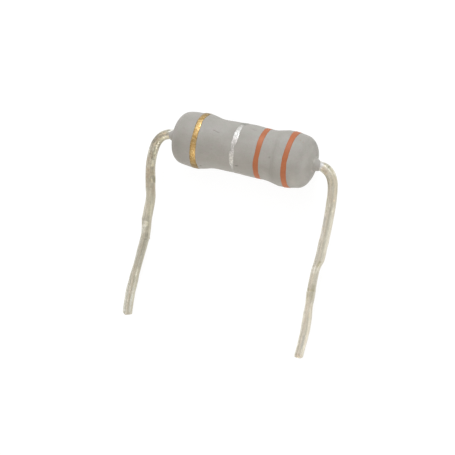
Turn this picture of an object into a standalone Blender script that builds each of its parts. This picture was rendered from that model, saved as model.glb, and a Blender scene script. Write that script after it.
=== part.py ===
"""Axial metal oxide film resistor with its leads formed for a 15 mm hole pitch.

The body is a ceramic rod that carries a spiral-cut oxide film, a pressed steel
cap on each end, a wire butt-welded to each cap, and a thick flameproof lacquer
over all of it with four painted rings. It lies on a table: the body rests on
its two bulges and the wires slope down until their cut ends touch the table.

Units in this file: lengths are written in millimetres and scaled by MM.
Frame: +X along the body, wires towards -Y, +Z up, table at z = 0, origin at
the middle of the footprint.
"""
import math

import bmesh
import bpy
from mathutils import Matrix, Vector

MM = 0.001
NAME = "metal_oxide_resistor"

# ------------------------------------------------------------ main dimensions
BODY_LENGTH = 12.0        # lacquered body, without the meniscus on each wire
BULGE_R = 2.25            # largest radius, over the end caps
WAIST_R = 2.00            # radius between the caps
WIRE_R = 0.40             # 0.8 mm tinned copper wire
PITCH = 15.0              # nominal hole pitch the leads are formed for
SEGMENTS = 32             # facets round every turned piece, a multiple of four
CLEAR = 0.010             # gap between pieces that touch

# inner parts
CORE_R = 1.62
CORE_HALF = 5.15
CORE_CHAMFER = 0.35
FILM_THICK = 0.035
FILM_HALF = 4.70
CAP_R = 1.88
CAP_WALL = 0.19
CAP_FACE = 5.36           # outer end face of a cap, from the body's middle
CAP_RIM = 3.25            # open rim of a cap, from the body's middle
CAP_CORNER = 0.55         # outer corner radius of a cap
FOOT_R = 0.62             # weld foot of a wire on its cap
FOOT_LENGTH = 0.35

# spiral trim cut
TRIM_TURNS = 3
TRIM_PITCH = 1.55
TRIM_WIDTH = 0.30
TRIM_DEPTH = 0.08         # how far the cut runs into the ceramic

# painted rings: middle and width along the body
PAINT = 0.020             # paint thickness
RINGS = (
    ("band_gold", -3.555, 0.450),
    ("band_silver", -0.235, 0.410),
    ("band_orange_inner", 1.700, 0.420),
    ("band_orange_outer", 4.100, 0.420),
)

# lacquer outline: distance from the body's middle, radius
OUTLINE_LEFT = (
    (6.30, 0.475), (6.15, 0.500), (5.97, 0.535), (5.89, 0.690), (5.80, 0.985),
    (5.70, 1.355), (5.55, 1.670), (5.40, 1.850), (5.20, 1.998), (4.95, 2.090),
    (4.60, 2.152), (4.20, 2.190), (3.82, 2.222),
    (3.56, 2.225), (3.28, 2.214), (2.90, 2.140), (2.40, 2.015), (1.60, 1.978),
    (0.80, 2.005),
)
OUTLINE_RIGHT = (
    (6.30, 0.480), (6.15, 0.515), (5.96, 0.598), (5.88, 0.780), (5.80, 1.055),
    (5.70, 1.400), (5.55, 1.652), (5.40, 1.840), (5.20, 1.998), (4.95, 2.095),
    (4.70, 2.140), (4.35, 2.195), (3.86, 2.222), (3.50, 2.250),
    (3.20, 2.205), (2.80, 2.112), (2.40, 2.035), (1.95, 2.018), (1.45, 2.025),
    (0.80, 2.042),
)

# wire routes, in the plane of the leads: distance out from the body's middle
# along the body, and distance down the leg
ROUTE_LEFT = (
    (CAP_FACE + CLEAR, 0.00), (6.10, 0.00), (6.55, 0.10), (7.00, 0.35),
    (7.33, 0.82), (7.52, 1.55), (7.58, 2.40), (7.51, 3.30), (7.24, 4.55),
    (7.09, 5.60), (7.11, 6.80), (7.03, 7.80), (7.00, 8.50), (7.10, 9.40),
    (7.27, 11.00), (7.41, 12.50), (7.465, 13.60), (7.44, 15.00),
)
ROUTE_RIGHT = (
    (CAP_FACE + CLEAR, 0.00), (6.12, 0.00), (6.65, 0.12), (7.10, 0.37),
    (7.44, 0.80), (7.66, 1.45), (7.77, 2.30), (7.81, 3.40), (7.80, 4.60),
    (7.74, 5.90), (7.68, 7.00), (7.56, 7.75), (7.45, 8.45), (7.42, 9.40),
    (7.46, 10.90), (7.51, 12.40), (7.46, 13.80), (7.35, 15.30),
)
# where the forming die pinched the wire: distance down the leg, half length,
# how much narrower the wire is there
PINCH_LEFT = ((8.05, 0.45, 0.14), (10.30, 1.90, 0.11), (13.60, 2.00, 0.07))
PINCH_RIGHT = ((8.45, 0.85, 0.20), (11.15, 0.75, 0.20), (13.40, 2.40, 0.09))
STEP = 0.34               # spacing of the wire's points along its route


# ------------------------------------------------------------------- scene
for old in list(bpy.data.objects):
    bpy.data.objects.remove(old, do_unlink=True)

parts = bpy.data.collections.new(NAME)
tools = bpy.data.collections.new(NAME + "_cutters")
bpy.context.scene.collection.children.link(parts)
bpy.context.scene.collection.children.link(tools)

body = bpy.data.objects.new("body_axis", None)
body.empty_display_size = 3 * MM
parts.objects.link(body)


def material(name, colour, roughness, metallic):
    mat = bpy.data.materials.new(name)
    mat.use_nodes = True
    shader = mat.node_tree.nodes["Principled BSDF"]
    shader.inputs["Base Color"].default_value = (*colour, 1.0)
    shader.inputs["Roughness"].default_value = roughness
    shader.inputs["Metallic"].default_value = metallic
    mat.diffuse_color = (*colour, 1.0)
    return mat


LACQUER = material("grey_lacquer", (0.40, 0.39, 0.37), 0.62, 0.0)
CERAMIC = material("white_alumina", (0.82, 0.80, 0.76), 0.55, 0.0)
OXIDE = material("tin_oxide_film", (0.10, 0.12, 0.15), 0.35, 0.3)
CAP_STEEL = material("plated_steel", (0.62, 0.61, 0.58), 0.35, 1.0)
TINNED = material("tinned_copper", (0.66, 0.63, 0.54), 0.38, 1.0)
GOLD = material("gold_paint", (0.62, 0.40, 0.13), 0.42, 0.6)
SILVER = material("silver_paint", (0.75, 0.76, 0.75), 0.45, 0.6)
ORANGE = material("orange_paint", (0.60, 0.19, 0.07), 0.55, 0.0)


def add(name, mesh, mat, parent=body, collection=parts):
    obj = bpy.data.objects.new(name, mesh)
    collection.objects.link(obj)
    obj.parent = parent
    if mat is not None:
        mesh.materials.append(mat)
    return obj


def turned(name, profile, mat, closed=True, segments=SEGMENTS):
    """A piece turned about the body's axis. The profile holds (x, r) pairs,
    running down the outer side from +X to -X and back along the inside."""
    mesh = bpy.data.meshes.new(name)
    bm = bmesh.new()
    verts = [bm.verts.new((r * MM, 0.0, x * MM)) for x, r in profile]
    for a, b in zip(verts, verts[1:]):
        bm.edges.new((a, b))
    if closed:
        bm.edges.new((verts[-1], verts[0]))
    bm.to_mesh(mesh)
    bm.free()
    obj = add(name, mesh, mat)
    obj.rotation_euler = (0.0, math.radians(90.0), 0.0)
    screw = obj.modifiers.new("turn", "SCREW")
    screw.axis = "Z"
    screw.angle = math.radians(360.0)
    screw.steps = segments
    screw.render_steps = segments
    screw.use_merge_vertices = True
    screw.merge_threshold = 1e-6
    screw.use_smooth_shade = True
    return obj


def arc(cx, cr, radius, start, stop, count):
    """Points of an arc in the (x, r) plane, angles in degrees from +X."""
    out = []
    for i in range(count + 1):
        a = math.radians(start + (stop - start) * i / count)
        out.append((cx + radius * math.cos(a), cr + radius * math.sin(a)))
    return out


# ------------------------------------------------------------ ceramic core
def smooth_by_angle(obj, degrees=35.0):
    obj.data.shade_smooth()
    obj.data.set_sharp_from_angle(angle=math.radians(degrees))


core = turned("ceramic_core", [
    (CORE_HALF, 0.0),
    (CORE_HALF, CORE_R - CORE_CHAMFER),
    (CORE_HALF - CORE_CHAMFER, CORE_R),
    (-CORE_HALF + CORE_CHAMFER, CORE_R),
    (-CORE_HALF, CORE_R - CORE_CHAMFER),
    (-CORE_HALF, 0.0),
], CERAMIC, closed=False)

# ------------------------------------------------------------- oxide film
FILM_IN = CORE_R + CLEAR
FILM_OUT = FILM_IN + FILM_THICK
film = turned("oxide_film", [
    (FILM_HALF, FILM_OUT), (-FILM_HALF, FILM_OUT),
    (-FILM_HALF, FILM_IN), (FILM_HALF, FILM_IN),
], OXIDE)


def trim_cutter(name, inner, outer, width):
    """The spiral that the trimming wheel cuts, as a square bar wound on a
    screw."""
    mesh = bpy.data.meshes.new(name)
    bm = bmesh.new()
    start = TRIM_TURNS * TRIM_PITCH / 2.0
    section = [bm.verts.new((r * MM, 0.0, (x - start) * MM)) for x, r in (
        (width / 2.0, outer), (-width / 2.0, outer),
        (-width / 2.0, inner), (width / 2.0, inner))]
    square = [bm.edges.new((a, b)) for a, b in zip(section, section[1:] + section[:1])]
    bmesh.ops.spin(
        bm, geom=section + square, cent=(0.0, 0.0, 0.0), axis=(0.0, 0.0, 1.0),
        dvec=(0.0, 0.0, TRIM_PITCH * MM / SEGMENTS),
        angle=math.radians(360.0 * TRIM_TURNS), steps=SEGMENTS * TRIM_TURNS,
        use_merge=False)
    bmesh.ops.holes_fill(bm, edges=[e for e in bm.edges if e.is_boundary], sides=4)
    bmesh.ops.recalc_face_normals(bm, faces=bm.faces)
    bm.to_mesh(mesh)
    bm.free()
    cutter = add(name, mesh, None, collection=tools)
    cutter.rotation_euler = (0.0, math.radians(90.0), 0.0)
    cutter.hide_render = True
    cutter.display_type = "WIRE"
    return cutter


def cut(obj, cutter):
    boolean = obj.modifiers.new("trim", "BOOLEAN")
    boolean.operation = "DIFFERENCE"
    boolean.solver = "EXACT"
    boolean.object = cutter


cut(core, trim_cutter("trim_cut_core", CORE_R - TRIM_DEPTH, FILM_OUT + 0.2, TRIM_WIDTH))
cut(film, trim_cutter("trim_cut_film", CORE_R - 0.02, FILM_OUT + 0.2, TRIM_WIDTH))

# --------------------------------------------------------------- end caps
CAP_IN = FILM_OUT + CLEAR
CAP_INNER_CORNER = CAP_CORNER - CAP_WALL


def cap_profile(side):
    """A pressed cup: closed face at CAP_FACE, open rim at CAP_RIM, with the
    rim rolled slightly outwards."""
    outer = [(CAP_FACE, 0.0)]
    outer += arc(CAP_FACE - CAP_CORNER, CAP_R - CAP_CORNER, CAP_CORNER, 0.0, 90.0, 3)
    outer += [(CAP_RIM + 0.25, CAP_R), (CAP_RIM, CAP_R + 0.04)]
    inner = [(CAP_RIM, CAP_IN)]
    inner_face = CORE_HALF + CLEAR
    inner += arc(inner_face - CAP_INNER_CORNER, CAP_IN - CAP_INNER_CORNER,
                 CAP_INNER_CORNER, 90.0, 0.0, 2)
    inner += [(inner_face, 0.0)]
    loop = outer + inner
    if side > 0:
        return loop
    return [(-x, r) for x, r in reversed(loop)]


turned("end_cap_right", cap_profile(1), CAP_STEEL, closed=False)
turned("end_cap_left", cap_profile(-1), CAP_STEEL, closed=False)

# ---------------------------------------------------------------- lacquer
INNER_HALF = (
    (OUTLINE_RIGHT[0][0], WIRE_R + 3.5 * CLEAR),
    (6.05, WIRE_R + CLEAR),
    (CAP_FACE + CLEAR + FOOT_LENGTH, WIRE_R + CLEAR),
    (CAP_FACE + CLEAR, FOOT_R + CLEAR),
    (CAP_FACE + CLEAR, CAP_R - CAP_CORNER + 0.05),
    (CAP_FACE - CAP_CORNER * 0.16, CAP_R - CAP_CORNER * 0.36 + CLEAR),
    (CAP_FACE - CAP_CORNER * 0.62, CAP_R - CAP_CORNER * 0.04 + CLEAR),
    (CAP_FACE - CAP_CORNER, CAP_R + CLEAR * 1.5),
    (CAP_RIM + 0.25, CAP_R + CLEAR * 1.5),
    (CAP_RIM - CLEAR, CAP_R + 0.04 + CLEAR),
    (CAP_RIM - CLEAR, FILM_OUT + CLEAR),
)
loop = [(x, r) for x, r in OUTLINE_RIGHT] + [(0.0, 2.022)]
loop += [(-x, r) for x, r in reversed(OUTLINE_LEFT)]
loop += [(-x, r) for x, r in INNER_HALF]
loop += [(x, r) for x, r in reversed(INNER_HALF)]
turned("coating", loop, LACQUER)


# ------------------------------------------------------------ painted rings
def lacquer_r(x):
    """Radius of the lacquer at a place along the body."""
    points = sorted([(-a, r) for a, r in OUTLINE_LEFT] + [(0.0, 2.022)]
                    + [(a, r) for a, r in OUTLINE_RIGHT])
    for (x0, r0), (x1, r1) in zip(points, points[1:]):
        if x0 <= x <= x1:
            return r0 + (r1 - r0) * (x - x0) / (x1 - x0)
    raise ValueError(x)


def ring_profile(middle, width):
    """A thin band of paint that follows the lacquer under it, corner for
    corner."""
    lo, hi = middle - width / 2.0, middle + width / 2.0
    corners = [-a for a, _ in OUTLINE_LEFT] + [0.0] + [a for a, _ in OUTLINE_RIGHT]
    stations = [hi] + [c for c in sorted(corners, reverse=True) if lo + 0.02 < c < hi - 0.02] + [lo]
    lift = CLEAR * 0.5
    outer = [(x, lacquer_r(x) + lift + PAINT) for x in stations]
    inner = [(x, lacquer_r(x) + lift) for x in reversed(stations)]
    return outer + inner


for ring_name, middle, width in RINGS:
    paint = GOLD if "gold" in ring_name else SILVER if "silver" in ring_name else ORANGE
    turned(ring_name, ring_profile(middle, width), paint)


# ------------------------------------------------------------------- wires
def smooth_route(points, step):
    """Evenly spaced points of the smooth curve through a route's own points
    (centripetal Catmull-Rom)."""
    pts = [Vector(p) for p in points]
    pts = [pts[0] * 2 - pts[1]] + pts + [pts[-1] * 2 - pts[-2]]
    dense = []
    for i in range(1, len(pts) - 2):
        p0, p1, p2, p3 = pts[i - 1:i + 3]
        t0 = 0.0
        t1 = t0 + (p1 - p0).length ** 0.5
        t2 = t1 + (p2 - p1).length ** 0.5
        t3 = t2 + (p3 - p2).length ** 0.5
        for k in range(24):
            t = t1 + (t2 - t1) * k / 24.0
            a1 = p0 * ((t1 - t) / (t1 - t0)) + p1 * ((t - t0) / (t1 - t0))
            a2 = p1 * ((t2 - t) / (t2 - t1)) + p2 * ((t - t1) / (t2 - t1))
            a3 = p2 * ((t3 - t) / (t3 - t2)) + p3 * ((t - t2) / (t3 - t2))
            b1 = a1 * ((t2 - t) / (t2 - t0)) + a2 * ((t - t0) / (t2 - t0))
            b2 = a2 * ((t3 - t) / (t3 - t1)) + a3 * ((t - t1) / (t3 - t1))
            dense.append(b1 * ((t2 - t) / (t2 - t1)) + b2 * ((t - t1) / (t2 - t1)))
    dense.append(pts[-2])
    total = sum((b - a).length for a, b in zip(dense, dense[1:]))
    count = max(2, round(total / step))
    out, travelled, target = [dense[0]], 0.0, total / count
    for a, b in zip(dense, dense[1:]):
        length = (b - a).length
        while travelled + length >= target - 1e-9 and len(out) < count:
            out.append(a.lerp(b, (target - travelled) / length))
            target += total / count
        travelled += length
    out.append(dense[-1])
    return out


def drop_angle(reach):
    """Slope of a leg of this length whose cut end touches the table, from the
    body's axis at BULGE_R above it."""
    angle = 0.1
    for _ in range(20):
        angle = math.asin((BULGE_R - WIRE_R * math.cos(angle)) / reach)
    return angle


def make_wire(name, side, route, pinches, tip_cuts):
    reach = route[-1][1]
    angle = drop_angle(reach)
    down = Vector((0.0, -math.cos(angle), -math.sin(angle)))

    def place(p):
        return Vector((side * p[0], 0.0, 0.0)) + down * p[1]

    spare = (route[-1][0], reach + 0.7)        # cut off again below
    path = smooth_route(list(route) + [spare], STEP)
    places = [place(p) for p in path]
    curve = bpy.data.curves.new(name, "CURVE")
    curve.dimensions = "3D"
    curve.bevel_depth = WIRE_R * MM
    curve.bevel_resolution = 4
    curve.use_fill_caps = True
    curve.twist_mode = "MINIMUM"
    spline = curve.splines.new("POLY")
    spline.points.add(len(places) - 1)
    for i, p in enumerate(places):
        spline.points[i].co = (p.x * MM, p.y * MM, p.z * MM, 1.0)
        travelled = abs(path[i][0]) - (CAP_FACE + CLEAR)
        foot = max(0.0, 1.0 - travelled / FOOT_LENGTH) if path[i][1] < 0.01 else 0.0
        spline.points[i].radius = 1.0 + foot * (FOOT_R / WIRE_R - 1.0)
    guide = bpy.data.objects.new(name + "_route", curve)
    tools.objects.link(guide)
    guide.parent = body
    bpy.context.view_layer.update()
    evaluated = guide.evaluated_get(bpy.context.evaluated_depsgraph_get())
    mesh = bpy.data.meshes.new_from_object(evaluated)
    mesh.name = name
    bm = bmesh.new()
    bm.from_mesh(mesh)
    bmesh.ops.remove_doubles(bm, verts=bm.verts, dist=1e-6)

    # the die's pinch marks: the section is squeezed along the body and
    # spreads the other way
    across = down.cross(Vector((1.0, 0.0, 0.0))).normalized()
    for v in bm.verts:
        here = v.co / MM
        depth = here.dot(down)
        amount = 0.0
        for middle, half, squeeze in pinches:
            t = abs(depth - middle) / half
            if t < 1.0:
                amount += squeeze * (0.5 + 0.5 * math.cos(math.pi * t))
        if amount == 0.0:
            continue
        nearest = min(places, key=lambda q: (q - here).length_squared)
        i = min(max(places.index(nearest), 1), len(places) - 2)
        along = (places[i + 1] - places[i - 1]).normalized()
        offset = here - nearest
        offset -= along * offset.dot(along)
        flat = along.cross(across).normalized()
        a, b = offset.dot(flat), offset.dot(across)
        here = here - offset + flat * (a * (1.0 - amount)) + across * (b * (1.0 + 0.45 * amount))
        v.co = here * MM

    # the cut end, one or two flat faces
    for point, normal in tip_cuts:
        centre = place(point)
        direction = (Vector((side * normal[0], 0.0, 0.0)) + down * normal[1]).normalized()
        result = bmesh.ops.bisect_plane(
            bm, geom=bm.verts[:] + bm.edges[:] + bm.faces[:], dist=1e-8,
            plane_co=centre * MM, plane_no=direction, clear_outer=True)
        rim = [e for e in result["geom_cut"] if isinstance(e, bmesh.types.BMEdge)]
        bmesh.ops.edgenet_fill(bm, edges=rim)
    bmesh.ops.recalc_face_normals(bm, faces=bm.faces)
    bm.to_mesh(mesh)
    bm.free()
    wire = add(name, mesh, TINNED)
    wire.matrix_world = guide.matrix_world.copy()
    bpy.data.objects.remove(guide, do_unlink=True)
    bpy.data.curves.remove(curve)
    smooth_by_angle(wire, 40.0)
    return wire


# the left wire was nipped off with cutters and ends in a blunt wedge, the
# right one ends square
left_tip = ROUTE_LEFT[-1]
right_tip = ROUTE_RIGHT[-1]
make_wire("lead_left", -1.0, ROUTE_LEFT, PINCH_LEFT, (
    ((left_tip[0], left_tip[1]), (0.5, 0.866)),
    ((left_tip[0] - 0.05, left_tip[1]), (-0.26, 0.966)),
))
make_wire("lead_right", 1.0, ROUTE_RIGHT, PINCH_RIGHT, (
    ((right_tip[0], right_tip[1]), (-0.05, 1.0)),
))

# -------------------------------------------------- stand it on the table
bpy.context.view_layer.update()
depsgraph = bpy.context.evaluated_depsgraph_get()
low, high = Vector((1e9,) * 3), Vector((-1e9,) * 3)
for obj in parts.objects:
    if obj.type != "MESH":
        continue
    evaluated = obj.evaluated_get(depsgraph)
    mesh = evaluated.to_mesh()
    for v in mesh.vertices:
        co = evaluated.matrix_world @ v.co
        low = Vector(map(min, low, co))
        high = Vector(map(max, high, co))
    evaluated.to_mesh_clear()
body.location = (-(low.x + high.x) / 2.0, -(low.y + high.y) / 2.0, BULGE_R * MM)
bpy.context.view_layer.update()
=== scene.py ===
"""Looks of a metal oxide film resistor with formed leads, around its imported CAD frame.

The lacquer, its four painted rings and the two tinned wires are modelled here as
fine meshes that stand for the plain CAD pieces. The ceramic, the oxide film and
the two caps stay the CAD's own and get their materials here.

Lengths are in millimetres unless a name says otherwise, and MM scales them.
"""
import math

import bmesh
import bpy
import numpy as np
from mathutils import Matrix, Vector, noise


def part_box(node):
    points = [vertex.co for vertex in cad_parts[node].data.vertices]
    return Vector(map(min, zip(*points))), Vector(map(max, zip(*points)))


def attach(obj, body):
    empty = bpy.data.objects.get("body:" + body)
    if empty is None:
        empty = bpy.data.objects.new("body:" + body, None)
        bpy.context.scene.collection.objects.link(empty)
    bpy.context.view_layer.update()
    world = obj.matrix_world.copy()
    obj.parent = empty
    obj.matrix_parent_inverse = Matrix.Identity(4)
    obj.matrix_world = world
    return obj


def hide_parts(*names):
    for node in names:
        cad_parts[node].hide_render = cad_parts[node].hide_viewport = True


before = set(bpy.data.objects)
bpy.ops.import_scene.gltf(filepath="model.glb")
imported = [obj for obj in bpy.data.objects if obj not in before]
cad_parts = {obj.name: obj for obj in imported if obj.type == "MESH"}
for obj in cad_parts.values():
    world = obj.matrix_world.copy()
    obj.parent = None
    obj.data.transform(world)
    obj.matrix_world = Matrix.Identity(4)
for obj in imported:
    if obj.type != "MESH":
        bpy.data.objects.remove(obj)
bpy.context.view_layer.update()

MM = 0.001
SCENE = bpy.context.scene

# The middle of the body, on its axis
_low, _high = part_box("coating")
CENTRE = (np.array(_low) + np.array(_high)) / 2.0 / MM
AXIS_HEIGHT = CENTRE[2]

# ------------------------------------------------------------------ dimensions
WIRE_R = 0.40             # 0.8 mm wire
WIRE_START = 5.37         # where a wire is welded on, from the body's middle
FOOT_R = 0.62             # weld foot
FOOT_LENGTH = 0.35
STRAIGHT_END = 6.10       # the wires start to bend here
CORE_BORE = 1.665         # the lacquer's own inside, over the oxide film

# The lacquer's outline, one row a station: distance along the body from its
# middle, radius on the +Y side, radius on the -Y side. Past 6.10 the distance
# runs on along the bent wire.
OUTLINE = (
    (-6.380, 0.402, 0.405), (-6.330, 0.405, 0.455), (-6.240, 0.408, 0.500),
    (-6.120, 0.412, 0.545), (-6.050, 0.425, 0.532), (-6.000, 0.450, 0.520),
    (-5.950, 0.530, 0.515), (-5.900, 0.715, 0.530), (-5.850, 0.950, 0.620),
    (-5.800, 1.120, 0.785), (-5.750, 1.270, 1.005), (-5.700, 1.385, 1.325),
    (-5.550, 1.632, 1.710), (-5.400, 1.822, 1.880), (-5.200, 1.970, 2.035),
    (-5.000, 2.048, 2.115),
    (-4.700, 2.105, 2.170), (-4.400, 2.135, 2.210), (-4.000, 2.150, 2.250),
    (-3.600, 2.206, 2.270), (-3.280, 2.200, 2.225), (-2.900, 2.140, 2.147),
    (-2.400, 2.025, 2.014), (-2.000, 1.990, 1.968), (-1.600, 1.998, 1.966),
    (-1.200, 2.025, 1.970), (-0.800, 2.035, 1.970), (-0.400, 2.045, 1.962),
    (0.000, 2.070, 1.975), (0.400, 2.078, 2.003), (0.800, 2.072, 2.012),
    (1.200, 2.042, 2.026), (1.600, 2.012, 2.016), (1.950, 2.010, 2.022),
    (2.400, 2.018, 2.052), (2.800, 2.103, 2.132), (3.200, 2.187, 2.225),
    (3.500, 2.240, 2.280), (3.860, 2.236, 2.262), (4.350, 2.190, 2.202),
    (4.700, 2.145, 2.132), (5.000, 2.090, 2.080), (5.200, 2.015, 1.980),
    (5.400, 1.870, 1.812), (5.550, 1.725, 1.580), (5.700, 1.512, 1.290),
    (5.760, 1.422, 1.010), (5.800, 1.314, 0.775), (5.840, 1.186, 0.630), (5.880, 0.950, 0.610),
    (5.950, 0.600, 0.600), (6.000, 0.575, 0.580), (6.060, 0.545, 0.550),
    (6.140, 0.510, 0.525), (6.250, 0.470, 0.495), (6.380, 0.445, 0.460),
    (6.480, 0.420, 0.430), (6.530, 0.402, 0.402),
)

# Where the lacquer stops on each wire: angle round the axis from +Z towards +Y
# in degrees, distance from the body's middle
STOP_LEFT = (
    (-180, 6.28), (-135, 6.32), (-90, 6.35), (-60, 6.375), (-30, 6.39), (0, 6.37),
    (30, 6.21), (60, 6.03), (90, 5.97), (135, 6.06), (180, 6.28),
)
STOP_RIGHT = (
    (-180, 6.39), (-135, 6.40), (-90, 6.43), (-60, 6.48), (-30, 6.51), (0, 6.51),
    (30, 6.43), (60, 6.27), (90, 6.14), (135, 6.22), (180, 6.39),
)
NECK = 5.96               # the lacquer starts to run out along the wires here

# Wire routes in the plane of the leads: distance out from the body's middle,
# distance down the leg
ROUTE_LEFT = (
    (WIRE_START, 0.00), (6.10, 0.00), (6.55, 0.10), (7.00, 0.35),
    (7.33, 0.82), (7.52, 1.55), (7.58, 2.40), (7.51, 3.30), (7.24, 4.55),
    (7.09, 5.60), (7.11, 6.80), (7.03, 7.80), (7.00, 8.50), (7.10, 9.40),
    (7.27, 11.00), (7.41, 12.50), (7.465, 13.60), (7.44, 15.00),
)
ROUTE_RIGHT = (
    (WIRE_START, 0.00), (6.12, 0.00), (6.65, 0.12), (7.10, 0.37),
    (7.44, 0.80), (7.66, 1.45), (7.77, 2.30), (7.81, 3.40), (7.80, 4.60),
    (7.74, 5.90), (7.68, 7.00), (7.56, 7.75), (7.45, 8.45), (7.42, 9.40),
    (7.46, 10.90), (7.51, 12.40), (7.46, 13.80), (7.35, 15.30),
)

# Edges of each wire beside its route, seen square to the plane of the leads:
# distance along the wire from its weld, edge towards -X, edge towards +X
EDGES_LEFT = (
    (0.00, -0.395, 0.395), (0.70, -0.390, 0.395), (0.98, -0.375, 0.385), (1.10, -0.412, 0.385),
    (1.20, -0.400, 0.385), (1.32, -0.388, 0.385), (1.90, -0.377, 0.364), (2.60, -0.391, 0.372), (3.20, -0.383, 0.380),
    (3.60, -0.362, 0.380), (3.90, -0.378, 0.401), (4.40, -0.374, 0.391), (4.80, -0.365, 0.413),
    (5.30, -0.387, 0.421), (5.55, -0.399, 0.416), (5.80, -0.409, 0.380), (6.10, -0.414, 0.371),
    (6.40, -0.386, 0.381), (6.72, -0.359, 0.388), (7.20, -0.373, 0.388), (7.70, -0.398, 0.392),
    (8.16, -0.382, 0.401), (8.40, -0.413, 0.392), (8.64, -0.433, 0.376), (8.90, -0.420, 0.364),
    (9.12, -0.396, 0.361), (9.36, -0.351, 0.345), (9.70, -0.320, 0.322), (10.00, -0.332, 0.339),
    (10.40, -0.327, 0.312), (10.80, -0.311, 0.328), (11.00, -0.316, 0.332), (11.30, -0.313, 0.329),
    (11.80, -0.284, 0.323), (12.05, -0.283, 0.316), (12.40, -0.282, 0.312), (12.75, -0.292, 0.309),
    (12.96, -0.300, 0.307), (13.30, -0.334, 0.315), (13.70, -0.325, 0.368), (14.20, -0.355, 0.382),
    (14.50, -0.370, 0.376), (14.70, -0.375, 0.365), (15.20, -0.353, 0.385), (15.55, -0.360, 0.389),
    (15.80, -0.359, 0.389), (16.40, -0.331, 0.385), (16.60, -0.330, 0.387), (17.60, -0.330, 0.387),
)
EDGES_RIGHT = (
    (0.00, -0.400, 0.400), (0.85, -0.395, 0.380), (1.02, -0.371, 0.355), (1.20, -0.363, 0.415),
    (1.48, -0.372, 0.458), (1.90, -0.373, 0.452), (2.15, -0.362, 0.451), (2.40, -0.361, 0.444),
    (2.65, -0.370, 0.439), (2.90, -0.375, 0.439), (3.20, -0.384, 0.407), (3.70, -0.385, 0.403),
    (4.40, -0.399, 0.395), (5.10, -0.393, 0.390), (5.60, -0.395, 0.388), (6.10, -0.390, 0.383),
    (6.70, -0.394, 0.392), (7.10, -0.380, 0.399), (7.50, -0.402, 0.403), (8.00, -0.394, 0.366),
    (8.60, -0.379, 0.396), (8.90, -0.374, 0.409), (9.12, -0.340, 0.378), (9.36, -0.311, 0.311),
    (9.62, -0.312, 0.280), (10.10, -0.292, 0.302), (10.30, -0.284, 0.305), (10.60, -0.279, 0.308),
    (11.00, -0.302, 0.317), (11.30, -0.290, 0.311), (11.52, -0.321, 0.337), (11.80, -0.344, 0.332),
    (12.10, -0.315, 0.326), (12.50, -0.279, 0.280), (12.80, -0.288, 0.263), (13.00, -0.304, 0.275),
    (13.30, -0.353, 0.301), (13.70, -0.355, 0.334), (14.20, -0.370, 0.344), (14.50, -0.350, 0.355),
    (14.70, -0.341, 0.367), (15.10, -0.321, 0.328), (15.50, -0.337, 0.336), (16.00, -0.329, 0.310),
    (16.25, -0.333, 0.318), (16.50, -0.340, 0.309), (17.60, -0.340, 0.309),
)

# Local marks on a wire: distance along it, half length, direction round it in
# degrees (0 towards +X, 90 square to the plane of the leads, upwards), half
# width in degrees, height
MARKS_LEFT = (
    (10.13, 0.10, 2.0, 38.0, 0.075),      # burr thrown up by the die
    (10.14, 0.07, 95.0, 80.0, -0.020),    # the die's edge across the wire
    (8.62, 0.16, 178.0, 46.0, 0.018),
    (8.50, 0.09, 120.0, 60.0, -0.014),
    (9.15, 0.34, 112.0, 34.0, -0.045),    # flat left by the pliers
    (9.62, 0.12, 70.0, 60.0, -0.018),
    (5.55, 0.18, 30.0, 30.0, 0.014),
    (6.60, 0.20, 165.0, 40.0, -0.012),
    (1.55, 0.14, 70.0, 24.0, -0.016),
    (2.05, 0.10, 44.0, 22.0, -0.018),
    (2.60, 0.12, 60.0, 26.0, -0.014),
    (3.35, 0.16, 50.0, 26.0, -0.016),
    (3.95, 0.10, 42.0, 24.0, -0.014),
    (13.95, 0.10, 6.0, 30.0, 0.012),
    (16.15, 0.10, 120.0, 34.0, -0.010),
)
MARKS_RIGHT = (
    (9.34, 0.28, 60.0, 50.0, -0.012),
    (9.53, 0.12, 98.0, 36.0, -0.026),
    (9.05, 0.14, 20.0, 34.0, 0.014),
    (9.95, 0.20, 120.0, 36.0, -0.022),
    (11.50, 0.07, 95.0, 84.0, -0.020),    # the die's edge across the wire
    (11.66, 0.12, 176.0, 50.0, 0.014),
    (12.70, 0.26, 20.0, 60.0, -0.014),
    (8.15, 0.09, 4.0, 24.0, -0.016),
    (4.15, 0.10, 52.0, 20.0, -0.012),
    (5.00, 0.10, 48.0, 20.0, -0.012),
    (15.75, 0.10, 130.0, 40.0, -0.012),
)

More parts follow.
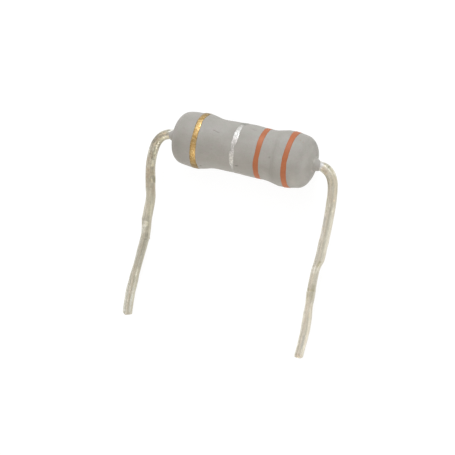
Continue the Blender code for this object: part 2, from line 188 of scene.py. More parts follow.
# Stains and rubbed places on the upper side of a wire, and with them painted
# highlights and painted shade where its bends and legs catch the light or miss it:
# where it starts and ends along the wire, distance beside the route at each of
# them, half width, how light or dark it is, tint. They are laid on as if through
# a stencil held in the plane of the leads, along this direction.
STENCIL = np.array([0.309, 0.021, 0.951])
STAINS_AND_SHEEN_LEFT = (
    (1.16, 2.30, 0.11, 0.18, 0.13, 0.70, "even"),
    (0.72, 1.02, -0.30, -0.28, 0.13, 1.00, "pale"),
    (0.90, 1.19, -0.22, -0.21, 0.09, 1.00, "pale"),
    (0.94, 1.27, -0.32, -0.31, 0.08, 0.60, "cool"),
    (1.20, 1.46, -0.21, -0.21, 0.09, 1.09, "cool"),
    (1.26, 1.54, 0.14, 0.16, 0.09, 1.08, "cool"),
    (1.54, 1.74, 0.09, 0.09, 0.08, 0.95, "cool"),
    (1.62, 1.88, 0.20, 0.21, 0.08, 1.10, "cream"),
    (1.20, 1.95, -0.34, -0.32, 0.10, 0.86, "plain"),
    (1.40, 1.96, -0.16, -0.12, 0.20, 1.10, "tan"),
    (0.90, 1.23, -0.12, -0.09, 0.12, 0.72, "plain"),
    (1.04, 1.38, -0.13, -0.05, 0.15, 0.74, "plain"),
    (1.18, 1.50, 0.00, 0.05, 0.10, 0.90, "cool"),
    (1.08, 1.32, 0.29, 0.28, 0.08, 1.15, "plain"),
    (1.24, 1.60, -0.14, -0.10, 0.15, 1.14, "tan"),
    (1.27, 1.47, -0.20, -0.20, 0.08, 1.10, "tan"),
    (1.50, 1.96, -0.01, -0.02, 0.12, 0.70, "plain"),
    (1.20, 1.62, 0.13, 0.17, 0.13, 0.93, "cool"),
    (1.70, 1.90, 0.14, 0.16, 0.10, 1.16, "cream"),
    (1.86, 2.22, 0.17, 0.20, 0.11, 0.88, "moss"),
    (1.66, 2.75, 0.25, 0.27, 0.19, 0.64, "olive"),
    (1.80, 2.60, 0.03, 0.06, 0.13, 0.88, "olive"),
    (2.22, 2.62, 0.09, 0.11, 0.13, 0.82, "plain"),
    (1.70, 2.75, -0.02, 0.00, 0.12, 0.92, "plain"),
    (1.98, 2.26, -0.10, -0.09, 0.11, 0.89, "tan"),
    (2.26, 2.50, 0.12, 0.18, 0.07, 1.16, "cream"),
    (2.36, 2.74, -0.30, -0.29, 0.12, 0.91, "plain"),
    (2.56, 2.76, -0.12, -0.06, 0.16, 0.89, "tan"),
    (2.80, 3.02, 0.12, 0.16, 0.13, 0.82, "plain"),
    (2.58, 2.88, 0.14, 0.18, 0.08, 1.18, "cream"),
    (1.80, 3.15, -0.36, -0.34, 0.14, 0.74, "plain"),
    (2.20, 2.40, -0.20, -0.20, 0.12, 0.84, "tan"),
    (2.26, 2.66, -0.31, -0.29, 0.13, 0.72, "plain"),
    (1.96, 2.32, -0.18, -0.14, 0.15, 0.88, "tan"),
    (2.36, 2.64, 0.03, 0.05, 0.10, 0.80, "olive"),
    (2.42, 2.68, -0.12, -0.10, 0.11, 1.16, "olive"),
    (2.64, 2.84, 0.26, 0.31, 0.08, 0.74, "plain"),
    (2.78, 3.04, 0.06, 0.10, 0.09, 0.76, "olive"),
    (2.84, 3.06, 0.20, 0.26, 0.08, 0.80, "olive"),
    (2.89, 3.07, -0.06, -0.05, 0.07, 1.26, "cool"),
    (3.10, 3.34, 0.19, 0.21, 0.07, 1.22, "cream"),
    (3.30, 3.60, -0.14, -0.12, 0.12, 0.86, "plain"),
    (3.54, 3.84, 0.03, 0.05, 0.09, 0.74, "plain"),
    (3.58, 3.78, 0.22, 0.24, 0.07, 1.20, "cream"),
    (3.76, 3.88, 0.20, 0.20, 0.12, 0.70, "olive"),
    (4.22, 4.42, 0.15, 0.16, 0.06, 1.18, "cream"),
    (4.41, 4.51, -0.27, -0.27, 0.10, 1.14, "tan"),
    (4.52, 4.64, 0.18, 0.18, 0.09, 0.78, "plain"),
    (4.54, 4.78, -0.20, -0.20, 0.11, 0.84, "tan"),
    (4.76, 5.02, -0.08, -0.07, 0.06, 1.14, "tan"),
    (5.10, 5.35, -0.27, -0.27, 0.10, 0.82, "tan"),
    (5.22, 5.38, -0.08, -0.08, 0.07, 1.22, "cool"),
    (5.34, 5.74, 0.07, 0.17, 0.07, 1.18, "cream"),
    (5.24, 5.72, 0.34, 0.32, 0.09, 0.78, "olive"),
    (5.44, 5.62, -0.12, -0.12, 0.12, 0.86, "olive"),
    (5.90, 6.18, 0.02, 0.04, 0.10, 0.86, "olive"),
    (6.13, 6.24, -0.04, -0.04, 0.08, 1.14, "plain"),
    (6.25, 6.42, 0.15, 0.15, 0.08, 1.22, "cream"),
    (6.64, 6.82, -0.10, -0.06, 0.10, 1.12, "plain"),
    (6.80, 6.92, -0.15, -0.15, 0.25, 0.90, "plain"),
    (3.10, 3.80, -0.10, -0.05, 0.26, 0.80, "tan"),
    (2.90, 3.52, 0.09, 0.11, 0.12, 0.86, "olive"),
    (2.60, 3.75, 0.18, 0.20, 0.11, 1.26, "cream"),
    (3.78, 4.42, 0.12, 0.17, 0.17, 1.48, "cream"),
    (3.70, 4.38, -0.26, -0.24, 0.24, 0.85, "tan"),
    (4.46, 5.35, -0.20, -0.16, 0.32, 0.90, "tan"),
    (4.40, 5.25, 0.06, 0.10, 0.15, 0.90, "tan"),
    (4.54, 5.12, 0.20, 0.21, 0.10, 1.10, "olive"),
    (5.14, 5.68, 0.00, 0.00, 0.14, 0.82, "olive"),
    (5.28, 5.50, -0.17, -0.16, 0.14, 0.88, "plain"),
    (5.36, 5.76, 0.10, 0.16, 0.12, 1.26, "cream"),
    (5.10, 5.78, 0.36, 0.35, 0.14, 0.74, "olive"),
    (5.20, 6.15, -0.34, -0.33, 0.22, 0.86, "tan"),
    (5.80, 6.12, -0.11, -0.10, 0.12, 1.10, "plain"),
    (6.25, 8.36, -0.07, -0.05, 0.44, 1.12, "plain"),
    (7.30, 8.40, 0.13, 0.17, 0.18, 1.14, "cream"),
    (8.50, 8.88, -0.34, -0.32, 0.17, 0.76, "plain"),
    (8.50, 8.80, 0.10, 0.12, 0.12, 1.12, "plain"),
    (8.74, 9.32, -0.10, -0.13, 0.25, 1.46, "cool"),
    (9.08, 9.84, -0.12, -0.19, 0.17, 1.36, "cool"),
    (8.80, 9.24, 0.08, 0.07, 0.14, 1.36, "cream"),
    (9.40, 10.0, -0.31, -0.31, 0.18, 1.18, "cool"),
    (10.13, 10.35, 0.06, 0.08, 0.50, 0.84, "plain"),
    (9.65, 12.85, 0.13, 0.15, 0.27, 0.73, "plain"),
    (10.3, 12.6, -0.22, -0.20, 0.22, 1.04, "cool"),
    (12.8, 16.6, -0.29, -0.25, 0.24, 1.20, "cool"),
    (13.55, 14.60, 0.20, 0.20, 0.14, 0.92, "plain"),
    (14.15, 14.95, -0.13, 0.00, 0.15, 1.22, "cool"),
    (14.20, 16.5, 0.19, 0.18, 0.18, 1.14, "cool"),
    (14.80, 16.4, 0.19, 0.18, 0.18, 1.18, "cool"),
    (16.15, 16.9, -0.18, -0.14, 0.28, 1.18, "cool"),
)
STAINS_AND_SHEEN_RIGHT = (
    (0.84, 1.21, 0.00, 0.10, 0.75, 0.92, "pale"),
    (1.02, 1.30, -0.34, -0.32, 0.14, 0.75, "pale"),
    (1.08, 1.30, 0.14, 0.16, 0.12, 0.70, "pale"),
    (1.02, 1.34, 0.16, 0.18, 0.22, 0.74, "plain"),
    (1.10, 1.70, 0.12, 0.17, 0.15, 0.80, "plain"),
    (1.16, 1.34, -0.12, -0.10, 0.12, 0.84, "plain"),
    (1.12, 1.74, 0.24, 0.33, 0.20, 0.45, "olive"),
    (1.14, 1.84, -0.12, -0.10, 0.22, 0.80, "tan"),
    (1.60, 1.94, -0.26, -0.22, 0.14, 1.10, "tan"),
    (1.46, 2.12, 0.27, 0.33, 0.13, 0.76, "olive"),
    (1.50, 2.20, 0.06, 0.08, 0.08, 0.90, "plain"),
    (2.15, 3.70, 0.34, 0.34, 0.08, 0.82, "olive"),
    (1.58, 1.76, -0.11, -0.11, 0.10, 0.80, "plain"),
    (1.80, 4.35, 0.20, 0.20, 0.13, 1.12, "tan"),
    (2.25, 3.05, -0.10, -0.06, 0.16, 0.90, "olive"),
    (2.20, 2.90, -0.34, -0.32, 0.12, 0.86, "tan"),
    (3.95, 5.25, -0.35, -0.33, 0.17, 0.78, "olive"),
    (4.28, 4.72, -0.13, -0.10, 0.13, 1.16, "cool"),
    (4.04, 4.20, 0.20, 0.22, 0.11, 1.20, "cream"),
    (4.40, 4.54, 0.22, 0.22, 0.09, 1.12, "cream"),
    (4.84, 5.04, 0.20, 0.24, 0.11, 1.20, "cream"),
    (4.60, 9.10, 0.00, 0.03, 0.13, 0.90, "plain"),
    (4.40, 8.55, 0.20, 0.20, 0.13, 1.16, "plain"),
    (5.40, 6.40, -0.34, -0.33, 0.16, 0.87, "cool"),
    (5.80, 6.60, 0.11, 0.12, 0.12, 0.90, "plain"),
    (6.50, 7.30, -0.31, -0.30, 0.14, 1.10, "cool"),
    (7.55, 9.05, -0.31, -0.29, 0.20, 0.86, "plain"),
    (8.98, 9.66, 0.09, 0.01, 0.15, 0.84, "olive"),
    (9.24, 9.48, 0.07, 0.07, 0.14, 0.80, "olive"),
    (8.94, 9.56, 0.14, 0.13, 0.15, 0.83, "olive"),
    (8.88, 9.72, -0.27, -0.25, 0.13, 0.92, "plain"),
    (9.60, 9.88, -0.13, -0.11, 0.09, 1.14, "plain"),
    (9.48, 10.15, -0.14, -0.08, 0.18, 1.27, "cool"),
    (9.85, 10.95, -0.04, -0.03, 0.14, 1.20, "plain"),
    (9.75, 12.6, 0.20, 0.22, 0.17, 0.80, "plain"),
    (10.9, 11.60, 0.16, 0.17, 0.20, 0.84, "olive"),
    (11.32, 11.60, -0.08, -0.06, 0.48, 0.83, "moss"),
    (11.60, 12.40, -0.24, -0.20, 0.14, 0.92, "olive"),
    (11.60, 12.30, 0.16, 0.14, 0.16, 0.92, "olive"),
    (11.95, 13.25, -0.12, -0.10, 0.42, 1.12, "plain"),
    (13.15, 13.70, 0.07, 0.12, 0.13, 1.12, "tan"),
    (13.3, 14.2, -0.29, -0.27, 0.17, 1.12, "plain"),
    (13.6, 16.9, 0.20, 0.23, 0.20, 1.20, "plain"),
    (15.0, 16.7, 0.07, 0.10, 0.15, 0.86, "plain"),
    (15.0, 16.3, -0.02, 0.00, 0.15, 0.90, "cool"),
    (15.8, 16.6, -0.30, -0.28, 0.17, 1.12, "plain"),
    (16.6, 17.0, -0.05, -0.05, 0.32, 0.88, "tan"),
)
TINTS = {
    "plain": (1.0, 1.0, 1.0), "cool": (0.975, 1.0, 1.045), "tan": (1.05, 0.99, 0.94),
    "olive": (1.01, 1.0, 0.92), "moss": (1.02, 1.0, 0.88), "cream": (1.0, 1.0, 0.96),
}
# "pale" is a milky, non-metal patch where a wire leaves the lacquer, partly thin lacquer and partly a painted
# highlight, rather than a tint; "even" calms the tin's grain under a painted highlight


# ------------------------------------------------------------------ mathematics
def smooth_curve(points, per=24):
    """Points of the centripetal Catmull-Rom curve through these."""
    pts = [np.array(p, float) for p in points]
    pts = [pts[0] * 2 - pts[1]] + pts + [pts[-1] * 2 - pts[-2]]
    out = []
    for i in range(1, len(pts) - 2):
        p0, p1, p2, p3 = pts[i - 1:i + 3]
        t0 = 0.0
        t1 = t0 + np.linalg.norm(p1 - p0) ** 0.5
        t2 = t1 + np.linalg.norm(p2 - p1) ** 0.5
        t3 = t2 + np.linalg.norm(p3 - p2) ** 0.5
        for k in range(per):
            t = t1 + (t2 - t1) * k / per
            a1 = p0 * ((t1 - t) / (t1 - t0)) + p1 * ((t - t0) / (t1 - t0))
            a2 = p1 * ((t2 - t) / (t2 - t1)) + p2 * ((t - t1) / (t2 - t1))
            a3 = p2 * ((t3 - t) / (t3 - t2)) + p3 * ((t - t2) / (t3 - t2))
            b1 = a1 * ((t2 - t) / (t2 - t0)) + a2 * ((t - t0) / (t2 - t0))
            b2 = a2 * ((t3 - t) / (t3 - t1)) + a3 * ((t - t1) / (t3 - t1))
            out.append(b1 * ((t2 - t) / (t2 - t1)) + b2 * ((t - t1) / (t2 - t1)))
    out.append(pts[-2])
    return np.array(out)


def travelled(points):
    return np.concatenate([[0.0], np.cumsum(np.linalg.norm(np.diff(points, axis=0), axis=1))])


def at(points, s, places):
    """Columns of points, taken at these distances along them."""
    return np.stack([np.interp(places, s, points[:, k]) for k in range(points.shape[1])], axis=1)


def blurred(values, width):
    """Values smoothed along their row by a bell of this many samples."""
    if width <= 0:
        return values
    reach = int(math.ceil(width * 3))
    bell = np.exp(-0.5 * (np.arange(-reach, reach + 1) / width) ** 2)
    bell /= bell.sum()
    padded = np.concatenate([2 * values[:1] - values[reach:0:-1], values,
                             2 * values[-1:] - values[-2:-reach - 2:-1]])
    if values.ndim == 1:
        return np.convolve(padded, bell, mode="valid")
    return np.stack([np.convolve(padded[:, k], bell, mode="valid")
                     for k in range(values.shape[1])], axis=1)


def grain(places, scale, seed=0.0):
    """Smooth noise from about -1 to 1 at each place, features of about this
    size."""
    shift = Vector((seed * 7.31, seed * 3.17, seed * 5.73))
    return np.array([noise.noise(Vector(p) / scale + shift) for p in places.reshape(-1, 3)]
                    ).reshape(places.shape[:-1])


def bump_at(t):
    """A rounded bump that is 1 at t = 0 and 0 from t = 1."""
    t = np.clip(np.abs(t), 0.0, 1.0)
    return (1.0 - t * t) ** 2


# -------------------------------------------------------------- routes in space
def drop_angle(reach):
    """Slope of a leg of this length whose cut end touches the table."""
    angle = 0.1
    for _ in range(20):
        angle = math.asin((AXIS_HEIGHT - WIRE_R * math.cos(angle)) / reach)
    return angle


class Wire:
    """A wire's centre line, with its frame at any distance along it."""

    def __init__(self, side, route):
        self.side = side
        self.reach = route[-1][1]
        angle = drop_angle(self.reach)
        self.down = np.array([0.0, -math.cos(angle), -math.sin(angle)])
        self.across = np.cross(self.down, [1.0, 0.0, 0.0])
        flat = smooth_curve(list(route) + [(route[-1][0], self.reach + 0.9)])
        s = travelled(flat)
        even = np.arange(0.0, s[-1], 0.02)
        flat = at(flat, s, even)
        bend = np.clip((flat[:, 0] - STRAIGHT_END) / 0.2, 0.0, 1.0)[:, None]
        flat = flat * (1 - bend) + blurred(flat, 6.0) * bend
        points = np.zeros((len(flat), 3))
        points[:, 0] = side * flat[:, 0]
        points += flat[:, 1:2] * self.down
        self.s = travelled(points)
        self.points = points
        tangent = np.gradient(points, axis=0)
        self.tangent = tangent / np.linalg.norm(tangent, axis=1)[:, None]
        # where the leg ends, as a distance along the wire
        self.end = float(np.interp(self.reach, flat[:, 1], self.s))

    def frame(self, s):
        """Centre, tangent and sideways direction (towards +X down the leg) at
        distances along the wire, in millimetres from the body's middle."""
        s = np.atleast_1d(s)
        centre = at(self.points, self.s, s)
        tangent = at(self.tangent, self.s, s)
        tangent /= np.linalg.norm(tangent, axis=1)[:, None]
        beside = np.cross(self.across, tangent)
        return centre, tangent, beside


LEFT = Wire(-1.0, ROUTE_LEFT)
RIGHT = Wire(1.0, ROUTE_RIGHT)


def spine(q):
    """Centre and two directions of the body's section at a distance q along
    it. Past where the wires start to bend it follows them."""
    q = np.atleast_1d(np.asarray(q, float))
    centre = np.zeros((len(q), 3))
    centre[:, 0] = q
    along = np.tile([1.0, 0.0, 0.0], (len(q), 1))
    for wire in (LEFT, RIGHT):
        bent = wire.side * q > STRAIGHT_END - 0.05
        if bent.any():
            c, t, _ = wire.frame(wire.side * q[bent] - WIRE_START)
            centre[bent] = c
            along[bent] = t * wire.side
    up = np.zeros_like(along)
    out = np.zeros_like(along)
    for i, t in enumerate(along):
        turn = Vector((1.0, 0.0, 0.0)).rotation_difference(Vector(t)).to_matrix()
        up[i] = turn @ Vector((0.0, 0.0, 1.0))
        out[i] = turn @ Vector((0.0, 1.0, 0.0))
    return centre, up, out


# --------------------------------------------------------------- lacquer surface
_rows = np.array(OUTLINE)
_dense = smooth_curve(_rows, 20)
_len = travelled(np.stack([_dense[:, 0], (_dense[:, 1] + _dense[:, 2]) / 2.0], axis=1))
_even = np.linspace(0.0, _len[-1], 1600)
_dense = at(_dense, _len, _even)
_ends = np.clip((6.20 - np.abs(_dense[:, 0])) / 0.20, 0.0, 1.0)[:, None]
_fine = np.clip((5.85 - np.abs(_dense[:, 0])) / 0.25, 0.0, 1.0)[:, None]
_dense = _dense * (1 - _ends) + (blurred(_dense, 8.0) * _fine + blurred(_dense, 3.0) * (1 - _fine)) * _ends
OUTLINE_Q, OUTLINE_PLUS, OUTLINE_MINUS = _dense.T


def lacquer_radius(q, phi):
    """Radius of the lacquer at a distance along the body and an angle from +Z
    towards +Y, its slight unevenness included."""
    q, phi = np.broadcast_arrays(np.asarray(q, float), np.asarray(phi, float))
    plus = np.interp(q, OUTLINE_Q, OUTLINE_PLUS)
    minus = np.interp(q, OUTLINE_Q, OUTLINE_MINUS)
    r = (plus + minus) / 2.0 + (plus - minus) / 2.0 * np.sin(phi)
    places = np.stack([q, 2.0 * np.sin(phi), 2.0 * np.cos(phi)], axis=-1)
    uneven = 0.010 * grain(places, 2.4, 1.0) + 0.0045 * grain(places, 0.75, 2.0) \
        + 0.0016 * grain(places, 0.22, 3.0)
    body = np.clip((r - 0.45) / 1.2, 0.0, 1.0)
    # it never grows past the bulge that the body rests on
    below = np.clip(-np.cos(phi), 0.0, 1.0)
    r = r + uneven * body * (1.0 - 0.6 * below)
    return np.minimum(r, 2.232 + 0.03 * (1.0 - below ** 2) * (np.sin(phi) < 0))


SPINE_Q = np.linspace(-6.8, 6.8, 1361)
SPINE = spine(SPINE_Q)


def stopped(q, phi):
    """The distance q, drawn in or out past the necks so that the lacquer stops
    where it does at each angle."""
    q, phi = np.broadcast_arrays(q, phi)
    degrees = (np.degrees(phi) + 180.0) % 360.0 - 180.0
    out = q.copy()
    for side, stops, last in ((-1.0, STOP_LEFT, -OUTLINE_Q[0]), (1.0, STOP_RIGHT, OUTLINE_Q[-1])):
        table = np.array(stops)
        stop = np.interp(degrees, table[:, 0], table[:, 1])
        past = side * q - NECK
        out = np.where(past > 0.0, side * (NECK + past * (stop - NECK) / (last - NECK)), out)
    return out


def surface(q, phi, lift=0.0, radius=None):
    """Points of the lacquer's surface, in metres in the row frame, for a row of
    distances q and a row of angles phi (radians)."""
    r = (lacquer_radius(q[:, None], phi[None, :]) if radius is None
         else np.broadcast_to(np.asarray(radius, float)[:, None], (len(q), len(phi)))) + lift
    place = stopped(q[:, None], phi[None, :])
    centre, up, out = (np.stack([np.interp(place, SPINE_Q, part[:, k]) for k in range(3)], axis=-1)
                       for part in SPINE)
    p = centre + r[..., None] * (np.cos(phi)[None, :, None] * up + np.sin(phi)[None, :, None] * out)
    return (p + CENTRE) * MM


# ------------------------------------------------------------------- mesh making
def tube_mesh(name, rings, close_lengthwise=False, cap_start=False, cap_end=False):
    """A mesh through rings of points, each ring closed on itself. Lengthwise it
    is closed on itself, capped, or left open."""
    rings = np.asarray(rings)
    n, m, _ = rings.shape
    index = np.arange(n * m).reshape(n, m)
    following = np.roll(index, -1, axis=1)
    rows = n if close_lengthwise else n - 1
    nxt = np.roll(index, -1, axis=0)
    nxt_following = np.roll(following, -1, axis=0)
    quads = np.stack([index[:rows], following[:rows], nxt_following[:rows], nxt[:rows]], axis=-1)
    faces = quads.reshape(-1, 4).tolist()
    if cap_start:
        faces.append(index[0][::-1].tolist())
    if cap_end:
        faces.append(index[-1].tolist())
    mesh = bpy.data.meshes.new(name)
    mesh.from_pydata(rings.reshape(-1, 3).tolist(), [], faces)
    bm = bmesh.new()
    bm.from_mesh(mesh)
    bmesh.ops.recalc_face_normals(bm, faces=bm.faces)
    bm.to_mesh(mesh)
    bm.free()
    mesh.shade_smooth()
    return mesh


def piece(name, mesh, materials, node):
    obj = bpy.data.objects.new(name, mesh)
    SCENE.collection.objects.link(obj)
    for m in materials:
        mesh.materials.append(m)
    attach(obj, "root")
    if node:
        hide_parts(node)
    return obj


# --------------------------------------------------------------------- materials
class Nodes:
    """Short hands for building a material's nodes."""

    def __init__(self, name, roughness=0.5, metallic=0.0):
        self.mat = bpy.data.materials.new(name)
        self.mat.use_nodes = True
        self.tree = self.mat.node_tree
        self.shader = self.tree.nodes["Principled BSDF"]
        self.shader.inputs["Roughness"].default_value = roughness
        self.shader.inputs["Metallic"].default_value = metallic
        coord = self.tree.nodes.new("ShaderNodeTexCoord")
        self.place = self.scaled(coord.outputs["Object"], (1 / MM,) * 3)

    def new(self, kind, **settings):
        node = self.tree.nodes.new(kind)
        for key, value in settings.items():
            setattr(node, key, value)
        return node

    def link(self, a, b):
        self.tree.links.new(a, b)

    def put(self, socket, value):
        if isinstance(value, bpy.types.NodeSocket):
            self.link(value, socket)
        else:
            socket.default_value = value

    def scaled(self, vector, scale, location=(0, 0, 0), rotation=(0, 0, 0)):
        node = self.new("ShaderNodeMapping")
        self.link(vector, node.inputs["Vector"])
        node.inputs["Scale"].default_value = scale
        node.inputs["Location"].default_value = location
        node.inputs["Rotation"].default_value = rotation
        return node.outputs["Vector"]

    def attribute(self, name):
        return self.new("ShaderNodeAttribute", attribute_name=name)

    def noise(self, vector, scale, detail=2.0, rough=0.5, lacunarity=2.0, distortion=0.0):
        node = self.new("ShaderNodeTexNoise")
        self.link(vector, node.inputs["Vector"])
        node.inputs["Scale"].default_value = scale
        node.inputs["Detail"].default_value = detail
        node.inputs["Roughness"].default_value = rough
        node.inputs["Lacunarity"].default_value = lacunarity
        node.inputs["Distortion"].default_value = distortion
        return node.outputs["Fac"]

    def cells(self, vector, scale, feature="F1", output="Distance", randomness=1.0):
        node = self.new("ShaderNodeTexVoronoi", feature=feature)
        self.link(vector, node.inputs["Vector"])
        node.inputs["Scale"].default_value = scale
        node.inputs["Randomness"].default_value = randomness
        return node.outputs[output]

    def map(self, value, low, high, out_low=0.0, out_high=1.0, smooth=False):
        node = self.new("ShaderNodeMapRange")
        if smooth:
            node.interpolation_type = "SMOOTHSTEP"
        self.put(node.inputs["Value"], value)
        for socket, v in zip(("From Min", "From Max", "To Min", "To Max"), (low, high, out_low, out_high)):
            self.put(node.inputs[socket], v)
        return node.outputs["Result"]

    def math(self, operation, a, b=None, c=None, clamp=False):
        node = self.new("ShaderNodeMath", operation=operation, use_clamp=clamp)
        for i, v in enumerate((a, b, c)):
            if v is not None:
                self.put(node.inputs[i], v)
        return node.outputs[0]

    def vector(self, operation, a, b=None, output="Vector", scale=None):
        node = self.new("ShaderNodeVectorMath", operation=operation)
        self.put(node.inputs[0], a)
        if scale is not None:
            self.put(node.inputs["Scale"], scale)
        if b is not None:
            self.put(node.inputs[1], b)
        return node.outputs[output]

    def mix(self, factor, a, b, blend="MIX"):
        node = self.new("ShaderNodeMix", data_type="RGBA", blend_type=blend, clamp_factor=True)
        self.put(node.inputs[0], factor)
        for socket, v in ((node.inputs[6], a), (node.inputs[7], b)):
            if isinstance(v, bpy.types.NodeSocket):
                self.link(v, socket)
            else:
                socket.default_value = (*v, 1.0) if len(v) == 3 else v
        return node.outputs[2]

    def ramp(self, value, stops):
        node = self.new("ShaderNodeValToRGB")
        self.link(value, node.inputs["Fac"])
        elements = node.color_ramp.elements
        while len(elements) < len(stops):
            elements.new(0.5)
        for e, (position, colour) in zip(elements, stops):
            e.position = position
            e.color = (*colour, 1.0)
        return node.outputs["Color"]

    def bump(self, height, distance, strength=1.0, normal=None):
        node = self.new("ShaderNodeBump")
        node.inputs["Strength"].default_value = strength
        node.inputs["Distance"].default_value = distance
        self.link(height, node.inputs["Height"])
        if normal is not None:
            self.link(normal, node.inputs["Normal"])
        return node.outputs["Normal"]

    def spot(self, x, phi, half_x, half_round, soft=0.5, radius=None, lean=0.0):
        """A mark on the body, 1 in its middle and 0 outside: at a distance along
        the body and an angle from +Z towards +Y in degrees, with its half
        lengths along and round the body, in millimetres."""
        a = math.radians(phi)
        r = float(lacquer_radius(x, a)) if radius is None else radius
        here = Vector((x, r * math.sin(a), r * math.cos(a))) + Vector(CENTRE)
        turn = Matrix.Rotation(-a, 3, "X") @ Matrix.Rotation(math.radians(lean), 3, "Z")
        node = self.new("ShaderNodeMapping", vector_type="TEXTURE")
        self.link(self.place, node.inputs["Vector"])
        node.inputs["Location"].default_value = here
        node.inputs["Rotation"].default_value = turn.to_euler()
        node.inputs["Scale"].default_value = (half_x, half_round, 0.6)
        distance = self.vector("LENGTH", node.outputs["Vector"], output="Value")
        return self.map(distance, 1.0, soft, smooth=True)

    def colour(self, socket_value):
        self.put(self.shader.inputs["Base Color"], socket_value)

    def roughness(self, value):
        self.put(self.shader.inputs["Roughness"], value)

    def metallic(self, value):
        self.put(self.shader.inputs["Metallic"], value)

    def normal(self, value):
        self.link(value, self.shader.inputs["Normal"])

    def around(self):
        """The angle round the body's axis, in radians from +Z towards +Y."""
        centred = self.vector("SUBTRACT", self.place, tuple(CENTRE))
        split = self.new("ShaderNodeSeparateXYZ")
        self.link(centred, split.inputs[0])
        return self.math("ARCTAN2", split.outputs["Y"], split.outputs["Z"]), split.outputs["X"]


# Lacquer: light grey, matt, a little warmer and darker in drifts, with the few
# specks and scuffs that handling leaves.
LACQUER_COLOUR = (0.342, 0.327, 0.298)
LACQUER_DARK = (0.291, 0.275, 0.245)


def lacquer_tone(n):
    """The lacquer's colour before its marks."""
    drift = n.noise(n.scaled(n.place, (0.5, 0.8, 0.8)), 0.9, 3.0, 0.55)
    fine = n.noise(n.place, 5.5, 3.0, 0.6)
    tone = n.mix(n.map(drift, 0.28, 0.72), LACQUER_DARK, LACQUER_COLOUR)
    # faint blotches, some pinker and some greener
    blotch = n.noise(n.scaled(n.place, (1.0, 1.3, 1.3), location=(11.0, 5.0, 3.0)), 2.6, 3.0, 0.7)
    tone = n.mix(n.map(blotch, 0.30, 0.70, 0.0, 1.0), n.mix(1.0, tone, (0.970, 1.020, 0.980), blend="MULTIPLY"),
                 n.mix(1.0, tone, (1.036, 0.988, 1.012), blend="MULTIPLY"))
    pores = n.noise(n.scaled(n.place, (1.0, 1.0, 1.0), location=(3.0, 9.0, 7.0)), 9.0, 2.0, 0.6)
    tone = n.mix(n.map(pores, 0.48, 0.70, 0.0, 0.26), tone, (0.235, 0.220, 0.195))
    return n.mix(n.map(fine, 0.25, 0.75, 0.0, 0.20), tone, (0.245, 0.230, 0.205)), fine


def dark_reflection_patch(n):
    """Painted shade on the lacquer where the silver ring gives way at its upper end,
    on the side away from the leads, standing for the silver's dark reflection
    there: 1 in its middle and ragged at its edge."""
    ragged = n.noise(n.scaled(n.place, (1.0, 1.0, 1.0), location=(5.0, 2.0, 8.0)), 3.4, 3.0, 0.7)
    return n.math("MULTIPLY", n.spot(-0.30, 72.0, 0.44, 0.40, 0.20),
                  n.map(ragged, 0.40, 0.56, 0.30, 0.86, smooth=True))


